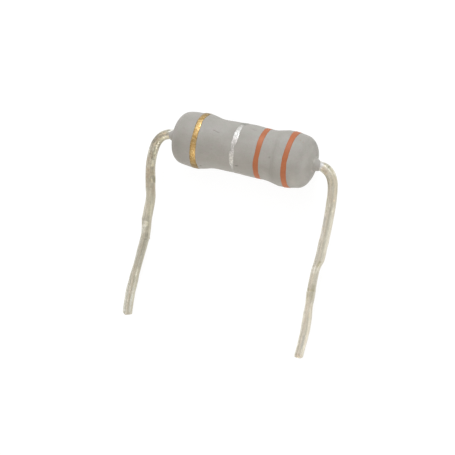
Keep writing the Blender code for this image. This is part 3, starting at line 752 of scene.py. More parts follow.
def make_lacquer():
    n = Nodes("grey_lacquer", roughness=0.62)
    tone, fine = lacquer_tone(n)
    specks = (
        # x, phi, half x, half round, lean, colour, strength
        (-2.19, 28.8, 0.25, 0.055, -8.0, (0.15, 0.105, 0.09), 0.54),
        (-1.91, 26.9, 0.25, 0.055, -7.0, (0.17, 0.16, 0.145), 0.62),
        (0.70, 55.0, 0.22, 0.065, -12.0, (0.185, 0.185, 0.165), 0.50),
        (0.95, 52.8, 0.30, 0.060, 4.0, (0.20, 0.195, 0.18), 0.46),
        (-2.10, -15.0, 0.10, 0.10, 0.0, (0.22, 0.20, 0.18), 0.28),
        (0.07, -44.2, 0.23, 0.085, 16.0, (0.10, 0.095, 0.09), 0.70),
        (2.80, -5.6, 0.13, 0.13, 0.0, (0.17, 0.16, 0.14), 0.50),
        (-3.03, -66.0, 0.13, 0.11, 30.0, (0.11, 0.10, 0.085), 0.75),
        (0.10, -64.0, 0.13, 0.12, 0.0, (0.17, 0.16, 0.14), 0.50),
        (0.37, -65.5, 0.16, 0.10, 0.0, (0.18, 0.17, 0.15), 0.50),
        (-4.64, 17.6, 0.12, 0.13, 0.0, (0.24, 0.20, 0.18), 0.22),
        (4.78, 49.0, 0.09, 0.08, 0.0, (0.30, 0.17, 0.12), 0.45),
        (5.04, 46.0, 0.09, 0.08, 0.0, (0.31, 0.18, 0.13), 0.40),
        (2.20, 36.0, 0.12, 0.10, 0.0, (0.20, 0.18, 0.16), 0.25),
        (-0.02, 77.0, 0.22, 0.16, -14.0, (0.10, 0.11, 0.09), 0.70),
        (-0.33, -6.5, 0.10, 0.10, 0.0, (0.14, 0.13, 0.12), 0.55),
        # on the sides that the bench sees
        (1.10, 150.0, 0.30, 0.07, 24.0, (0.20, 0.18, 0.16), 0.40),
        (-4.20, 170.0, 0.10, 0.12, 0.0, (0.16, 0.15, 0.13), 0.45),
        (2.90, -140.0, 0.14, 0.10, 0.0, (0.18, 0.17, 0.15), 0.40),
        (-1.60, -120.0, 0.42, 0.06, -14.0, (0.22, 0.19, 0.17), 0.35),
        (4.70, 118.0, 0.12, 0.16, 0.0, (0.20, 0.18, 0.16), 0.35),
    )
    # painted light and shade: broad places of the coat made a little lighter or darker to follow how the light falls on
    # its domes and necks
    light = 1.0
    for x, phi, hx, hr, shade in (
            (-5.40, 60.0, 0.60, 0.95, 0.17), (-4.60, 62.0, 0.70, 0.70, 0.06), (-5.35, -64.0, 0.55, 0.75, 0.10),
            (-4.50, -48.0, 0.85, 0.95, -0.07), (-2.50, -12.0, 1.40, 1.00, -0.10), (-2.40, -62.0, 1.00, 0.60, -0.06),
            (-1.10, -14.0, 1.00, 0.90, -0.06), (0.70, -4.0, 0.80, 0.90, -0.05), (2.40, -54.0, 0.80, 1.00, 0.09),
            (-4.95, -26.0, 0.75, 1.10, -0.10), (4.95, -56.0, 0.75, 1.15, 0.18), (5.45, -46.0, 0.45, 0.85, 0.07), (4.80, -14.0, 0.70, 0.75, -0.07),
            (5.95, 24.0, 0.20, 0.26, 0.26), (5.48, 60.0, 0.30, 0.60, -0.07), (4.75, -56.0, 0.35, 0.60, 0.06),
            (5.62, 86.0, 0.38, 1.00, -0.27), (5.55, 42.0, 0.26, 0.80, -0.08), (6.00, 66.0, 0.16, 0.50, 0.13),
            (5.80, 72.0, 0.16, 0.60, -0.10), (5.86, 0.0, 0.12, 0.55, 0.13)):
        light = n.math("ADD", light, n.math("MULTIPLY", n.spot(x, phi, hx, hr, 0.0), shade))
    turn, along = n.around()
    # painted light: the right dome lighter towards its neck, and the lower side of the left neck lighter where the
    # dome's corner keeps it in shade
    light = n.math("ADD", light, n.math("MULTIPLY", n.map(along, 5.20, 5.62, 0.0, 0.15, smooth=True),
                                        n.map(along, 6.02, 5.90)))
    light = n.math("ADD", light, n.math("MULTIPLY", n.map(along, -5.80, -6.04, 0.0, 0.36, smooth=True),
                                        n.map(turn, math.radians(-5), math.radians(-50))))
    light = n.math("ADD", light, n.math("MULTIPLY", n.map(along, -5.88, -6.02, 0.0, 0.30, smooth=True),
                                        n.map(turn, math.radians(-40), math.radians(-65))))
    tone = n.vector("SCALE", tone, scale=light)
    for x, phi, hx, hr, lean, colour, strength in specks:
        mask = n.math("MULTIPLY", n.spot(x, phi, hx, hr, 0.25, lean=lean), strength)
        tone = n.mix(mask, tone, colour)
    # painted shade: the dark greenish patch that stands for the silver ring's dark reflection
    tone = n.mix(dark_reflection_patch(n), tone, (0.145, 0.155, 0.125))
    # painted shade in the crease round the neck behind the outer ring, weaker on the top and the underside, broken up
    # by noise
    neck = n.map(n.math("ABSOLUTE", n.math("SUBTRACT", along, 3.06)), 0.30, 0.02, smooth=True)
    low = n.math("MULTIPLY", n.map(turn, math.radians(70), math.radians(-15), 0.45, 1.0),
                 n.map(turn, math.radians(-70), math.radians(-44), 0.35, 1.0))
    neck = n.math("MULTIPLY", neck, low)
    neck_shade_noise = n.noise(n.scaled(n.place, (7.0, 1.1, 1.1)), 1.0, 3.0, 0.6)
    # painted light: where the lacquer runs out onto the wires it is mixed towards a lighter grey against the shade
    # there, on the left wire not on its lower side
    left = n.math("MULTIPLY", n.map(along, -5.96, -6.10, 0.0, 0.40, smooth=True),
                  n.map(turn, math.radians(-30), math.radians(-60), 1.0, 0.0))
    collar_light = n.math("MAXIMUM", left,
                    n.map(along, 5.98, 6.12, 0.0, 0.20, smooth=True))
    tone = n.mix(collar_light, tone, (0.405, 0.395, 0.370))
    # painted shade: the neck's crease mixed towards a darker grey
    tone = n.mix(n.math("MULTIPLY", neck, n.map(neck_shade_noise, 0.30, 0.65, 0.08, 0.40)), tone, (0.200, 0.190, 0.165))
    n.colour(tone)
    n.roughness(n.map(n.noise(n.place, 2.2, 2.0), 0.3, 0.7, 0.56, 0.68))
    n.shader.inputs["Specular IOR Level"].default_value = 0.42
    n.normal(n.bump(fine, 0.010 * MM, 0.5,
                    n.bump(n.noise(n.place, 16.0, 2.0, 0.6), 0.0025 * MM, 0.6)))
    return n.mat


def make_orange():
    n = Nodes("orange_paint", roughness=0.5)
    drift = n.noise(n.place, 3.2, 3.0, 0.6)
    fine = n.noise(n.place, 11.0, 2.0, 0.6)
    tone = n.mix(n.map(drift, 0.3, 0.7), (0.350, 0.108, 0.039), (0.388, 0.126, 0.049))
    tone = n.mix(n.map(fine, 0.30, 0.70, 0.0, 0.16), tone, (0.265, 0.088, 0.037))
    # painted light: lighter, redder patches on the upper and lower sides of both rings, where the lamps light them
    tone = n.mix(n.math("MULTIPLY", n.spot(4.12, 42.0, 0.60, 1.00, 0.1), 0.9), tone, (0.400, 0.112, 0.036))
    tone = n.mix(n.math("MULTIPLY", n.spot(4.12, -62.0, 0.60, 0.75, 0.3), 0.85), tone, (0.415, 0.135, 0.052))
    tone = n.mix(n.math("MULTIPLY", n.spot(1.70, -62.0, 0.60, 0.65, 0.3), 0.6), tone, (0.395, 0.130, 0.052))
    tone = n.mix(n.math("MULTIPLY", n.spot(1.70, 30.0, 0.60, 0.70, 0.0), 0.9), tone, (0.425, 0.145, 0.060))
    n.colour(tone)
    n.roughness(n.map(fine, 0.3, 0.7, 0.50, 0.60))
    n.shader.inputs["Specular IOR Level"].default_value = 0.36
    n.normal(n.bump(fine, 0.006 * MM, 0.6))
    return n.mat


def flake(n, scale):
    """Grains of metal flake, each one a little lighter or darker and tilted."""
    colour = n.cells(n.place, scale, output="Color")
    split = n.new("ShaderNodeSeparateColor")
    n.link(colour, split.inputs[0])
    return split.outputs[0], split.outputs[1]


def make_gold():
    n = Nodes("gold_paint", roughness=0.42, metallic=0.9)
    grain_a, grain_b = flake(n, 11.0)
    cloud = n.noise(n.place, 4.0, 3.0, 0.65)
    fine = n.noise(n.place, 13.0, 3.0, 0.7)
    tone = n.mix(n.map(cloud, 0.32, 0.68), (0.410, 0.252, 0.084), (0.578, 0.416, 0.186))
    tone = n.mix(n.map(fine, 0.42, 0.62, 0.0, 0.52), tone, (0.300, 0.160, 0.040))
    tone = n.mix(n.map(grain_a, 0.55, 1.0, 0.0, 0.55), tone, (0.780, 0.605, 0.310))
    # thinner and browner along both edges
    rim = n.attribute("across").outputs["Fac"]
    edge = n.map(n.math("ADD", rim, n.map(fine, 0.3, 0.7, -0.16, 0.16)), 0.66, 1.0, 0.0, 0.42, smooth=True)
    tone = n.mix(edge, tone, (0.235, 0.150, 0.060))
    # painted shade: darker towards the ring's upper and lower sides, where the metal paint turns away from the lamps,
    # less round its back, and in a few patches across its middle
    turn, _ = n.around()
    side = n.math("MAXIMUM", n.map(turn, math.radians(46), math.radians(76), 0.0, 0.75),
                  n.map(turn, math.radians(-44), math.radians(-64), 0.0, 0.74))
    side = n.math("MAXIMUM", side, n.math("MULTIPLY", n.spot(-4.05, -4.0, 0.60, 0.45, 0.0), 0.40))
    side = n.math("MAXIMUM", side, n.math("MULTIPLY", n.spot(-3.56, -3.0, 0.60, 0.40, 0.0), 0.22))
    side = n.math("MAXIMUM", side, n.math("MULTIPLY", n.spot(-3.56, -40.0, 0.60, 0.26, 0.0), 0.22))
    side = n.math("MULTIPLY", side, n.map(n.math("ABSOLUTE", turn), math.radians(84), math.radians(112), 1.0, 0.30, smooth=True))
    tone = n.mix(side, tone, (0.190, 0.132, 0.056))
    n.colour(tone)
    n.roughness(n.map(grain_b, 0.0, 1.0, 0.36, 0.52))
    n.normal(n.bump(grain_a, 0.010 * MM, 0.6, n.bump(cloud, 0.012 * MM, 0.4)))
    return n.mat


def make_silver():
    n = Nodes("silver_paint", roughness=0.42, metallic=0.9)
    grain_a, grain_b = flake(n, 11.0)
    cloud = n.noise(n.place, 5.0, 3.0, 0.7)
    fine = n.noise(n.place, 12.0, 3.0, 0.7)
    bright = n.mix(n.map(cloud, 0.30, 0.66), (0.465, 0.453, 0.425), (0.640, 0.625, 0.590))
    bright = n.mix(n.map(fine, 0.42, 0.62, 0.0, 0.50), bright, (0.300, 0.292, 0.268))
    bright = n.mix(n.map(grain_a, 0.50, 1.0, 0.0, 0.50), bright, (0.880, 0.865, 0.830))
    # rubbed thin, so that the lacquer shows through in grains; towards the ring's upper and lower sides it gives way
    # wholly to lacquer
    turn, _ = n.around()
    worn_where = n.math("MULTIPLY", n.spot(-0.30, 3.0, 0.30, 0.34, 0.1), 0.60)
    fade = n.math("MAXIMUM",
                  n.math("MULTIPLY", n.map(turn, math.radians(57), math.radians(66)),
                         n.map(turn, math.radians(104), math.radians(94))),
                  n.math("MULTIPLY", n.map(turn, math.radians(-50), math.radians(-61)),
                         n.map(turn, math.radians(-100), math.radians(-90))))
    rim = n.attribute("across").outputs["Fac"]
    thin = n.math("ADD", n.math("ADD", n.map(cloud, 0.36, 0.30, 0.0, 0.6), worn_where),
                  n.map(rim, 0.70, 1.0, 0.0, 0.50))
    thin = n.math("MULTIPLY", thin, n.map(n.noise(n.place, 9.0, 3.0, 0.7), 0.40, 0.58))
    thin = n.math("MAXIMUM", thin, fade, clamp=True)
    lacquer, _ = lacquer_tone(n)
    # painted shade: the same dark patch standing for the silver's dark reflection
    lacquer = n.mix(dark_reflection_patch(n), lacquer, (0.145, 0.155, 0.125))
    n.colour(n.mix(thin, bright, lacquer))
    n.metallic(n.map(thin, 0.0, 1.0, 0.9, 0.0))
    n.roughness(n.map(grain_b, 0.0, 1.0, 0.38, 0.54))
    n.normal(n.bump(grain_a, 0.010 * MM, 0.6, n.bump(cloud, 0.02 * MM, 0.4)))
    return n.mat


def make_tin():
    """Tinned copper, drawn and then bent and pinched: streaks along the wire,
    patches where the tin was scuffed, bright rubbed places, and the painted
    highlights and shade carried in its per-vertex tint."""
    n = Nodes("tinned_wire", roughness=0.42, metallic=1.0)
    straight = n.attribute("wire_place").outputs["Vector"]
    streak = n.noise(n.scaled(straight, (0.35, 6.0, 6.0)), 1.0, 3.0, 0.6)
    patch = n.noise(n.scaled(straight, (0.9, 2.6, 2.6)), 1.0, 3.0, 0.6, distortion=0.3)
    fine = n.noise(n.scaled(straight, (3.0, 14.0, 14.0)), 1.0, 3.0, 0.6)
    tone = n.mix(n.map(streak, 0.32, 0.68), (0.500, 0.462, 0.380), (0.690, 0.655, 0.570))
    tone = n.mix(n.map(patch, 0.52, 0.70, 0.0, 0.40), tone, (0.470, 0.385, 0.320))
    tone = n.mix(n.map(fine, 0.30, 0.70, 0.0, 0.22), tone, (0.36, 0.335, 0.275))
    # the left wire is a little duller than the right one
    split = n.new("ShaderNodeSeparateXYZ")
    n.link(straight, split.inputs[0])
    tone = n.mix(1.0, tone, n.mix(n.map(split.outputs["X"], -1.0, 1.0), (0.945, 0.942, 0.88), (1.166, 1.168, 1.136)),
                 blend="MULTIPLY")
    # painted highlights and shade along the wire, together with its stains and rubbed places, from the per-vertex tint
    tone = n.vector("MULTIPLY", tone, n.attribute("stain_and_sheen").outputs["Vector"])
    tone = n.vector("MINIMUM", tone, (0.98, 0.98, 0.98))
    # painted highlight in part: the pale patch by the lacquer's end, non-metal and lighter on the left wire
    pale = n.attribute("pale").outputs["Fac"]
    n.colour(n.mix(pale, tone, n.mix(n.map(split.outputs["X"], -1.0, 1.0), (0.790, 0.780, 0.730), (0.475, 0.470, 0.460))))
    n.metallic(n.map(pale, 0.0, 1.0, 1.0, 0.0))
    n.roughness(n.math("ADD", n.map(patch, 0.3, 0.7, 0.36, 0.50), n.map(fine, 0.3, 0.7, -0.04, 0.06)))
    n.normal(n.bump(streak, 0.030 * MM, 0.55, n.bump(patch, 0.06 * MM, 0.4, n.bump(fine, 0.008 * MM, 0.5))))
    return n.mat


def make_cut_end():
    n = Nodes("cut_copper", roughness=0.4, metallic=1.0)
    lines = n.noise(n.scaled(n.place, (14.0, 3.0, 3.0)), 1.0, 3.0, 0.6)
    n.colour(n.mix(n.map(lines, 0.35, 0.65), (0.68, 0.56, 0.44), (0.78, 0.71, 0.60)))
    n.roughness(n.map(lines, 0.3, 0.7, 0.3, 0.5))
    n.normal(n.bump(lines, 0.01 * MM, 0.6))
    return n.mat


def make_cap():
    n = Nodes("plated_cap", roughness=0.34, metallic=1.0)
    rings = n.noise(n.scaled(n.place, (9.0, 0.6, 0.6)), 1.0, 3.0, 0.6)
    n.colour(n.mix(n.map(rings, 0.3, 0.7), (0.56, 0.55, 0.52), (0.68, 0.67, 0.64)))
    n.roughness(n.map(rings, 0.3, 0.7, 0.28, 0.42))
    n.normal(n.bump(rings, 0.008 * MM, 0.5))
    return n.mat


def make_ceramic():
    n = Nodes("fired_alumina", roughness=0.6)
    fine = n.noise(n.place, 9.0, 4.0, 0.65)
    n.colour(n.mix(n.map(fine, 0.3, 0.7), (0.78, 0.76, 0.71), (0.85, 0.83, 0.79)))
    n.roughness(n.map(fine, 0.3, 0.7, 0.52, 0.68))
    n.normal(n.bump(fine, 0.012 * MM, 0.5))
    return n.mat


def make_film():
    n = Nodes("tin_oxide", roughness=0.32, metallic=0.3)
    drift = n.noise(n.place, 1.6, 3.0, 0.55)
    n.colour(n.ramp(drift, ((0.30, (0.075, 0.095, 0.125)), (0.52, (0.11, 0.12, 0.15)), (0.72, (0.15, 0.12, 0.14)))))
    n.roughness(n.map(n.noise(n.place, 7.0, 3.0), 0.3, 0.7, 0.26, 0.42))
    n.normal(n.bump(n.noise(n.place, 12.0, 3.0), 0.004 * MM, 0.5))
    return n.mat


LACQUER, ORANGE, GOLD, SILVER = make_lacquer(), make_orange(), make_gold(), make_silver()
TIN, CUT = make_tin(), make_cut_end()

# ------------------------------------------------------------------ the lacquer
AROUND = 192
phi = np.arange(AROUND) * 2 * math.pi / AROUND


def build_coating():
    length = travelled(np.stack([OUTLINE_Q, (OUTLINE_PLUS + OUTLINE_MINUS) / 2.0], axis=1))
    count = 300
    q = np.interp(np.linspace(0.0, length[-1], count), length, OUTLINE_Q)
    outer = surface(q, phi)
    half = (
        (6.10, WIRE_R + 0.012), (WIRE_START + FOOT_LENGTH, WIRE_R + 0.012),
        (WIRE_START, FOOT_R + 0.012), (WIRE_START, 1.38), (5.272, 1.692),
        (5.019, 1.868), (4.81, 1.895), (3.50, 1.895), (3.24, 1.930), (3.24, 1.675),
    )
    inner = [(OUTLINE_Q[-1], WIRE_R + 0.001), (OUTLINE_Q[-1] - 0.10, WIRE_R + 0.006), *half]
    inner += [(-x, r) for x, r in reversed(half)]
    inner += [(OUTLINE_Q[0] + 0.10, WIRE_R + 0.006), (OUTLINE_Q[0], WIRE_R + 0.001)]
    inner = np.array(inner)
    bore = surface(inner[:, 0], phi, radius=inner[:, 1])
    mesh = tube_mesh("lacquer_coat", np.concatenate([outer, bore]), close_lengthwise=True)
    mesh.set_sharp_from_angle(angle=math.radians(50.0))
    return piece("lacquer_coat", mesh, [LACQUER], "coating")


build_coating()


# -------------------------------------------------------------- the painted rings
def edge_line(knots, seed, ragged):
    """An edge of a ring as a function of the angle, through knots of (degrees,
    distance along the body) and a little ragged."""
    knots = sorted(knots)
    a = np.array([k[0] for k in knots], float)
    v = np.array([k[1] for k in knots], float)
    a3 = np.concatenate([a - 360.0, a, a + 360.0])
    v3 = np.concatenate([v, v, v])

    def line(angle):
        degrees = np.degrees(angle)
        base = np.interp(degrees, a3, v3)
        around = np.stack([np.full_like(angle, seed * 3.1), 2.1 * np.sin(angle), 2.1 * np.cos(angle)], axis=-1)
        return base + ragged * (grain(around, 0.30, seed) + 0.6 * grain(around, 0.12, seed + 9.0))

    return line


def build_ring(name, node, material, low_knots, high_knots, ragged, thick=0.014):
    count, columns = 320, 10
    angle = np.arange(count) * 2 * math.pi / count
    signed = (angle + math.pi) % (2 * math.pi) - math.pi
    low = edge_line(low_knots, 1.0 + len(name), ragged)(signed)
    high = edge_line(high_knots, 2.0 + len(name), ragged)(signed)
    high = np.maximum(high, low + 0.05)
    layers = []
    for k in range(columns + 1):
        t = k / columns
        q = low + (high - low) * t
        rise = thick * min(1.0, 4.2 * math.sqrt(t * (1 - t))) - (0.006 if k in (0, columns) else 0.0)
        layers.append((q, rise))
    for k in range(columns - 1, 0, -1):
        layers.append((low + (high - low) * k / columns, -0.010))
    rings = []
    for q, rise in layers:
        r = lacquer_radius(q, signed) + rise
        p = np.stack([q, r * np.sin(signed), r * np.cos(signed)], axis=-1)
        rings.append((p + CENTRE) * MM)
    mesh = tube_mesh(name, rings, close_lengthwise=True)
    # how near an edge: 0 along the middle of the ring, 1 at its edges
    nearness = [abs(2.0 * k / columns - 1.0) for k in range(columns + 1)]
    nearness += nearness[-2:0:-1]
    across = mesh.attributes.new("across", "FLOAT", "POINT")
    across.data.foreach_set("value", np.repeat(nearness, count).astype(np.float32))
    return piece(name, mesh, [material], node)


build_ring(
    "gold_ring", "band_gold", GOLD,
    ((76, -3.78), (68, -3.76), (52, -3.80), (44, -3.815), (32, -3.81), (16, -3.795), (0, -3.80), (-12, -3.83),
     (-30, -3.835), (-52, -3.83), (-60, -3.855), (-72, -3.87), (-84, -3.93), (-120, -3.90), (180, -3.85), (120, -3.80)),
    ((76, -3.23), (68, -3.24), (52, -3.32), (44, -3.355), (32, -3.305), (16, -3.32), (0, -3.32), (-12, -3.31),
     (-30, -3.31), (-52, -3.30), (-60, -3.28), (-72, -3.24), (-84, -3.34), (-120, -3.33), (180, -3.31), (120, -3.27)),
    0.014)
build_ring(
    "silver_ring", "band_silver", SILVER,
    ((74, -0.44), (60, -0.45), (52, -0.53), (44, -0.565), (32, -0.60), (20, -0.60), (8, -0.60), (1, -0.57),
     (-4, -0.58), (-7.5, -0.40), (-11, -0.58), (-14, -0.61), (-24, -0.575), (-32, -0.585), (-40, -0.56),
     (-48, -0.475), (-60, -0.43), (-80, -0.42), (-110, -0.45), (-150, -0.52), (180, -0.50), (140, -0.48), (105, -0.42)),
    ((74, -0.14), (60, -0.15), (52, -0.15), (44, -0.145), (32, -0.10), (20, -0.085), (8, -0.12), (1, -0.23),
     (-4, -0.245), (-7.5, -0.19), (-11, -0.18), (-14, -0.16), (-24, -0.19), (-32, -0.165), (-40, -0.19),
     (-48, -0.23), (-60, -0.26), (-80, -0.22), (-110, -0.16), (-150, -0.12), (180, -0.14), (140, -0.16), (105, -0.14)),
    0.020)
build_ring(
    "orange_ring_inner", "band_orange_inner", ORANGE,
    ((76, 1.475), (60, 1.505), (44, 1.485), (20, 1.48), (0, 1.51), (-12, 1.475), (-24, 1.43), (-36, 1.435),
     (-52, 1.46), (-76, 1.445), (-130, 1.45), (180, 1.47), (120, 1.48)),
    ((76, 1.945), (60, 1.975), (44, 1.955), (20, 1.945), (0, 1.93), (-12, 1.905), (-24, 1.915), (-36, 1.925),
     (-52, 1.915), (-64, 1.97), (-76, 1.90), (-130, 1.91), (180, 1.93), (120, 1.94)),
    0.008)
build_ring(
    "orange_ring_outer", "band_orange_outer", ORANGE,
    ((76, 3.83), (60, 3.85), (44, 3.91), (24, 3.90), (8, 3.88), (0, 3.85), (-8, 3.87), (-20, 3.85),
     (-36, 3.85), (-60, 3.885), (-80, 3.83), (-130, 3.84), (180, 3.86), (120, 3.84)),
    ((76, 4.38), (60, 4.375), (44, 4.35), (24, 4.35), (8, 4.33), (0, 4.33), (-8, 4.29), (-20, 4.33),
     (-36, 4.335), (-60, 4.34), (-80, 4.38), (-130, 4.33), (180, 4.34), (120, 4.36)),
    0.008)


# ----------------------------------------------------------------- the two wires
def tint_stains_and_sheen(wire, s, x, y, stains_and_sheen, mottled):
    """The tint of a wire's tin at each vertex and how far the pale patch hides it.
    The tint is 1 where the tin is clean, and other shades where it is stained,
    rubbed, brightened by painted highlights, darkened by painted shade or, down to
    the distance given, mottled."""
    place = np.stack([np.broadcast_to(s[:, None], x.shape), x, y], axis=-1)
    shade = np.ones(x.shape + (3,))
    pale, coarse = np.zeros(x.shape), np.ones(x.shape)
    ragged = grain(place, 0.10, 12.0)
    _, tangent, beside = wire.frame(s)
    steep = STENCIL @ wire.across
    facing = (x * (beside @ STENCIL)[:, None] + y * steep) / np.hypot(x, y)
    upper = np.clip(0.5 + 2.5 * facing, 0.0, 1.0)
    place = place - y[..., None] * np.stack([tangent @ STENCIL, beside @ STENCIL, np.zeros(len(s))],
                                            axis=-1)[:, None, :] / steep
    for start, end, first, last, half_width, light, tint in stains_and_sheen:
        t = (place[..., 0] - start) / (end - start)
        soft = np.clip(0.06 + 0.08 / (end - start), 0.0, 0.5)
        lengthwise = np.clip((t + 0.25 * soft * ragged) / soft, 0.0, 1.0) * np.clip((1.0 - t) / soft, 0.0, 1.0)
        away = place[..., 1] - (first + (last - first) * np.clip(t, 0.0, 1.0))
        amount = lengthwise * bump_at(away / half_width) * upper * np.clip(0.95 + 0.45 * ragged, 0.0, 1.25)
        if tint == "pale":
            pale = np.maximum(pale, light * np.clip(amount, 0.0, 1.0))
            continue
        if tint == "even":
            coarse = np.minimum(coarse, 1.0 - light * np.clip(amount, 0.0, 1.0))
            continue
        goal = light * np.array(TINTS[tint])
        shade = shade * (1.0 + (goal - 1.0) * amount[..., None])
    mottle = np.clip((mottled - place[..., 0]) / 2.2, 0.0, 1.0)
    light = 1.0 + coarse * ((0.035 + 0.09 * mottle) * grain(place * [0.8, 1.0, 1.0], 0.15, 14.0)
                            + (0.02 + 0.06 * mottle) * grain(place * [0.7, 1.0, 1.0], 0.32, 15.0)
                            + (0.115 + 0.19 * mottle) * grain(place * [0.8, 1.0, 1.0], 0.085, 17.0))
    shade = shade * light[..., None]
    warm = (0.012 + 0.03 * mottle) * grain(place * [0.7, 1.0, 1.0], 0.22, 16.0)
    return shade * np.stack([1.0 + warm, np.ones_like(warm), 1.0 - warm], axis=-1), pale


def build_wire(name, wire, edges, marks, stains_and_sheen, mottled, tip):
    around, step = 64, 0.04
    theta = np.arange(around) * 2 * math.pi / around
    table = np.array(edges)
    end = wire.end + (0.0 if tip == "round" else 0.6)
    s = np.arange(0.0, end, step)
    s = np.concatenate([s[s < end - 0.16], end - 0.14 * (1 - np.sin(np.linspace(0, math.pi / 2, 10)))]) \
        if tip == "round" else s
    centre, tangent, beside = wire.frame(s)
    dense = np.arange(0.0, table[-1, 0], 0.04)
    low = np.interp(s, dense, blurred(np.interp(dense, table[:, 0], table[:, 1]), 2.2))
    high = np.interp(s, dense, blurred(np.interp(dense, table[:, 0], table[:, 2]), 2.2))
    half = (high - low) / 2.0
    middle = (high + low) / 2.0
    foot = np.clip(1.0 - s / FOOT_LENGTH, 0.0, 1.0)
    half = half + foot * (FOOT_R - WIRE_R)
    # what the die takes off one way it pushes out the other
    tall = WIRE_R + 0.45 * (WIRE_R - (high - low) / 2.0) + foot * (FOOT_R - WIRE_R)
    tall = np.clip(tall, 0.385, None)
    # square where pinched, round elsewhere
    pinch = np.clip((WIRE_R - (high - low) / 2.0 - 0.015) / 0.05, 0.0, 1.0)
    power = 2.0 + 0.7 * pinch
    c, sn = np.cos(theta)[None, :], np.sin(theta)[None, :]
    ca = np.sign(c) * np.abs(c) ** (2.0 / power[:, None])
    sa = np.sign(sn) * np.abs(sn) ** (2.0 / power[:, None])
    x = half[:, None] * ca
    y = tall[:, None] * sa
    # unevenness left by drawing, bending and the die
    straight = np.stack([np.broadcast_to(s[:, None], x.shape), x, y], axis=-1)
    wave = 0.006 * grain(straight * [0.45, 1.0, 1.0], 0.5, 4.0 + wire.side) \
        + 0.0035 * grain(straight * [0.5, 1.0, 1.0], 0.18, 6.0 + wire.side)
    wave = wave * np.clip((s - 0.9) / 0.4, 0.0, 1.0)[:, None]
    degrees = np.degrees(theta)[None, :]
    for place, half_length, direction, half_width, height in marks:
        turn = (degrees - direction + 180.0) % 360.0 - 180.0
        wave = wave + height * bump_at((s - place)[:, None] / half_length) * bump_at(turn / half_width)
    reach = np.hypot(x, y)
    x, y = x * (1 + wave / reach), y * (1 + wave / reach)
    if tip == "round":
        corner = 0.13
        t = np.clip((s - (end - corner)) / corner, 0.0, 1.0)
        shrink = 1.0 - (1.0 - np.sqrt(np.clip(1.0 - t * t, 0.0, 1.0))) * corner / WIRE_R
        x, y = x * shrink[:, None], y * shrink[:, None]
    p = centre[:, None, :] + (middle[:, None] + x)[..., None] * beside[:, None, :] + y[..., None] * wire.across
    # nothing lower than the table
    floor = -AXIS_HEIGHT + 0.001
    p[..., 2] = np.maximum(p[..., 2], floor)
    mesh = tube_mesh(name, (p + CENTRE) * MM, cap_start=True, cap_end=True)
    place = mesh.attributes.new("wire_place", "FLOAT_VECTOR", "POINT")
    place.data.foreach_set("vector", np.stack(
        [np.broadcast_to(s[:, None] + 40.0 * wire.side, x.shape), x, y], axis=-1).astype(np.float32).ravel())
    shade, pale = tint_stains_and_sheen(wire, s, middle[:, None] + x, y, stains_and_sheen, mottled)
    mesh.attributes.new("stain_and_sheen", "FLOAT_VECTOR", "POINT").data.foreach_set("vector", shade.astype(np.float32).ravel())
    mesh.attributes.new("pale", "FLOAT", "POINT").data.foreach_set("value", pale.astype(np.float32).ravel())
    if tip == "wedge":
        bm = bmesh.new()
        bm.from_mesh(mesh)
        tip_x, tip_y = ROUTE_LEFT[-1]
        for (px, py), (nx, ny) in (((tip_x, tip_y), (0.5, 0.866)), ((tip_x - 0.05, tip_y), (-0.26, 0.966))):
            point = np.array([wire.side * px, 0.0, 0.0]) + wire.down * py
            normal = np.array([wire.side * nx, 0.0, 0.0]) + wire.down * ny
            cut = bmesh.ops.bisect_plane(
                bm, geom=bm.verts[:] + bm.edges[:] + bm.faces[:], dist=1e-8,
                plane_co=Vector((point + CENTRE) * MM), plane_no=Vector(normal).normalized(), clear_outer=True)
            rim = [e for e in cut["geom_cut"] if isinstance(e, bmesh.types.BMEdge)]
            made = bmesh.ops.edgenet_fill(bm, edges=rim)
            for f in made["faces"]:
                f.material_index = 1
                f.smooth = False
        bmesh.ops.recalc_face_normals(bm, faces=bm.faces)
        bm.to_mesh(mesh)
        bm.free()
    else:
        for f in mesh.polygons:
            if len(f.vertices) > 4 and f.center.y < (CENTRE[1] - 5.0) * MM:
                f.material_index = 1
                f.use_smooth = False
    mesh.set_sharp_from_angle(angle=math.radians(40.0))
    node = "lead_left" if wire.side < 0 else "lead_right"
    return piece(name, mesh, [TIN, CUT], node)


build_wire("wire_left", LEFT, EDGES_LEFT, MARKS_LEFT, STAINS_AND_SHEEN_LEFT, 6.5, "wedge")
build_wire("wire_right", RIGHT, EDGES_RIGHT, MARKS_RIGHT, STAINS_AND_SHEEN_RIGHT, 3.2, "round")

# ------------------------------------------------------- the CAD's own pieces
for node, make in (("ceramic_core", make_ceramic), ("oxide_film", make_film)):
    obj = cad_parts[node]
    obj.data.materials.clear()
    obj.data.materials.append(make())
CAP = make_cap()
for node in ("end_cap_left", "end_cap_right"):
    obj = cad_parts[node]
    obj.data.materials.clear()
    obj.data.materials.append(CAP)

# -------------------------------------------------------------------- the stage
floor_mesh = bpy.data.meshes.new("floor")
bm = bmesh.new()
bmesh.ops.create_grid(bm, x_segments=8, y_segments=8, size=0.6)
bm.to_mesh(floor_mesh)
bm.free()
floor = bpy.data.objects.new("floor", floor_mesh)
SCENE.collection.objects.link(floor)
paper = Nodes("white_paper", roughness=0.9)
paper.colour(paper.mix(paper.map(paper.noise(paper.place, 0.02, 2.0), 0.3, 0.7),
                       (0.145, 0.145, 0.145), (0.155, 0.155, 0.155)))
paper.shader.inputs["Specular IOR Level"].default_value = 0.0
paper.shader.inputs["Emission Color"].default_value = (1.0, 1.0, 1.0, 1.0)
paper.shader.inputs["Emission Strength"].default_value = 0.885
floor_mesh.materials.append(paper.mat)

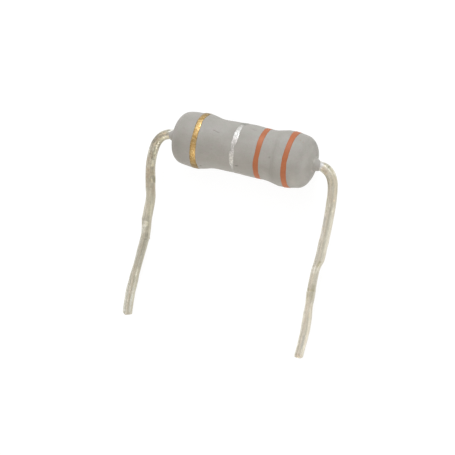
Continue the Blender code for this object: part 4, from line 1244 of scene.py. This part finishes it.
world = bpy.data.worlds.new("studio")
SCENE.world = world
world.use_nodes = True
background = world.node_tree.nodes["Background"]
background.inputs["Color"].default_value = (0.985, 1.0, 0.985, 1.0)
background.inputs["Strength"].default_value = 0.665

# A tent of round soft lights: direction round from +X towards +Y and height
# above the floor, both in degrees, power in watts, colour
TENT = (
    (90, 32, 0.588, (0.893, 0.936, 1.000)),
    (270, 32, 0.154, (1.000, 0.895, 0.718)),
    (315, 10, 0.242, (0.880, 0.886, 1.000)),
    (120, 60, 0.083, (1.000, 0.840, 0.898)),
    (240, 60, 0.034, (1.000, 0.780, 0.918)),
    (180, 10, 0.076, (0.821, 0.817, 1.000)),
)
for turn, rise, power, colour in TENT:
    data = bpy.data.lights.new("tent_%d_%d" % (turn, rise), "AREA")
    data.shape = "DISK"
    data.size = 0.13
    data.energy = power
    data.color = colour
    lamp = bpy.data.objects.new(data.name, data)
    SCENE.collection.objects.link(lamp)
    way = Vector((math.cos(math.radians(rise)) * math.cos(math.radians(turn)),
                  math.cos(math.radians(rise)) * math.sin(math.radians(turn)),
                  math.sin(math.radians(rise))))
    lamp.location = Vector(CENTRE * MM) + way * 0.30
    lamp.rotation_mode = "QUATERNION"
    lamp.rotation_quaternion = way.to_track_quat("Z", "Y")
    lamp.visible_camera = False

# ------------------------------------------------------------------- the camera
SIGHT = Matrix((                      # the camera's right, up and back
    (0.92890929, 0.20762884, -0.30662321),
    (-0.20386670, 0.97798102, 0.04462607),
    (0.30913734, 0.02105669, 0.95078426),
))
STAND = Vector((92.71053763, 0.0, 285.31518749))   # from the body's middle, mm
camera_data = bpy.data.cameras.new("camera")
camera_data.lens = 300.218
camera_data.sensor_width = 36.0
camera_data.sensor_fit = "HORIZONTAL"
camera_data.clip_start = 0.01
camera_data.clip_end = 5.0
camera = bpy.data.objects.new("camera", camera_data)
SCENE.collection.objects.link(camera)
camera.matrix_world = Matrix.Translation(Vector(CENTRE * MM) + STAND * MM) @ SIGHT.transposed().to_4x4()
SCENE.camera = camera

SCENE.view_settings.view_transform = "Standard"
SCENE.view_settings.look = "None"
SCENE.view_settings.exposure = 0.0
SCENE.view_settings.gamma = 1.0

bpy.context.view_layer.update()
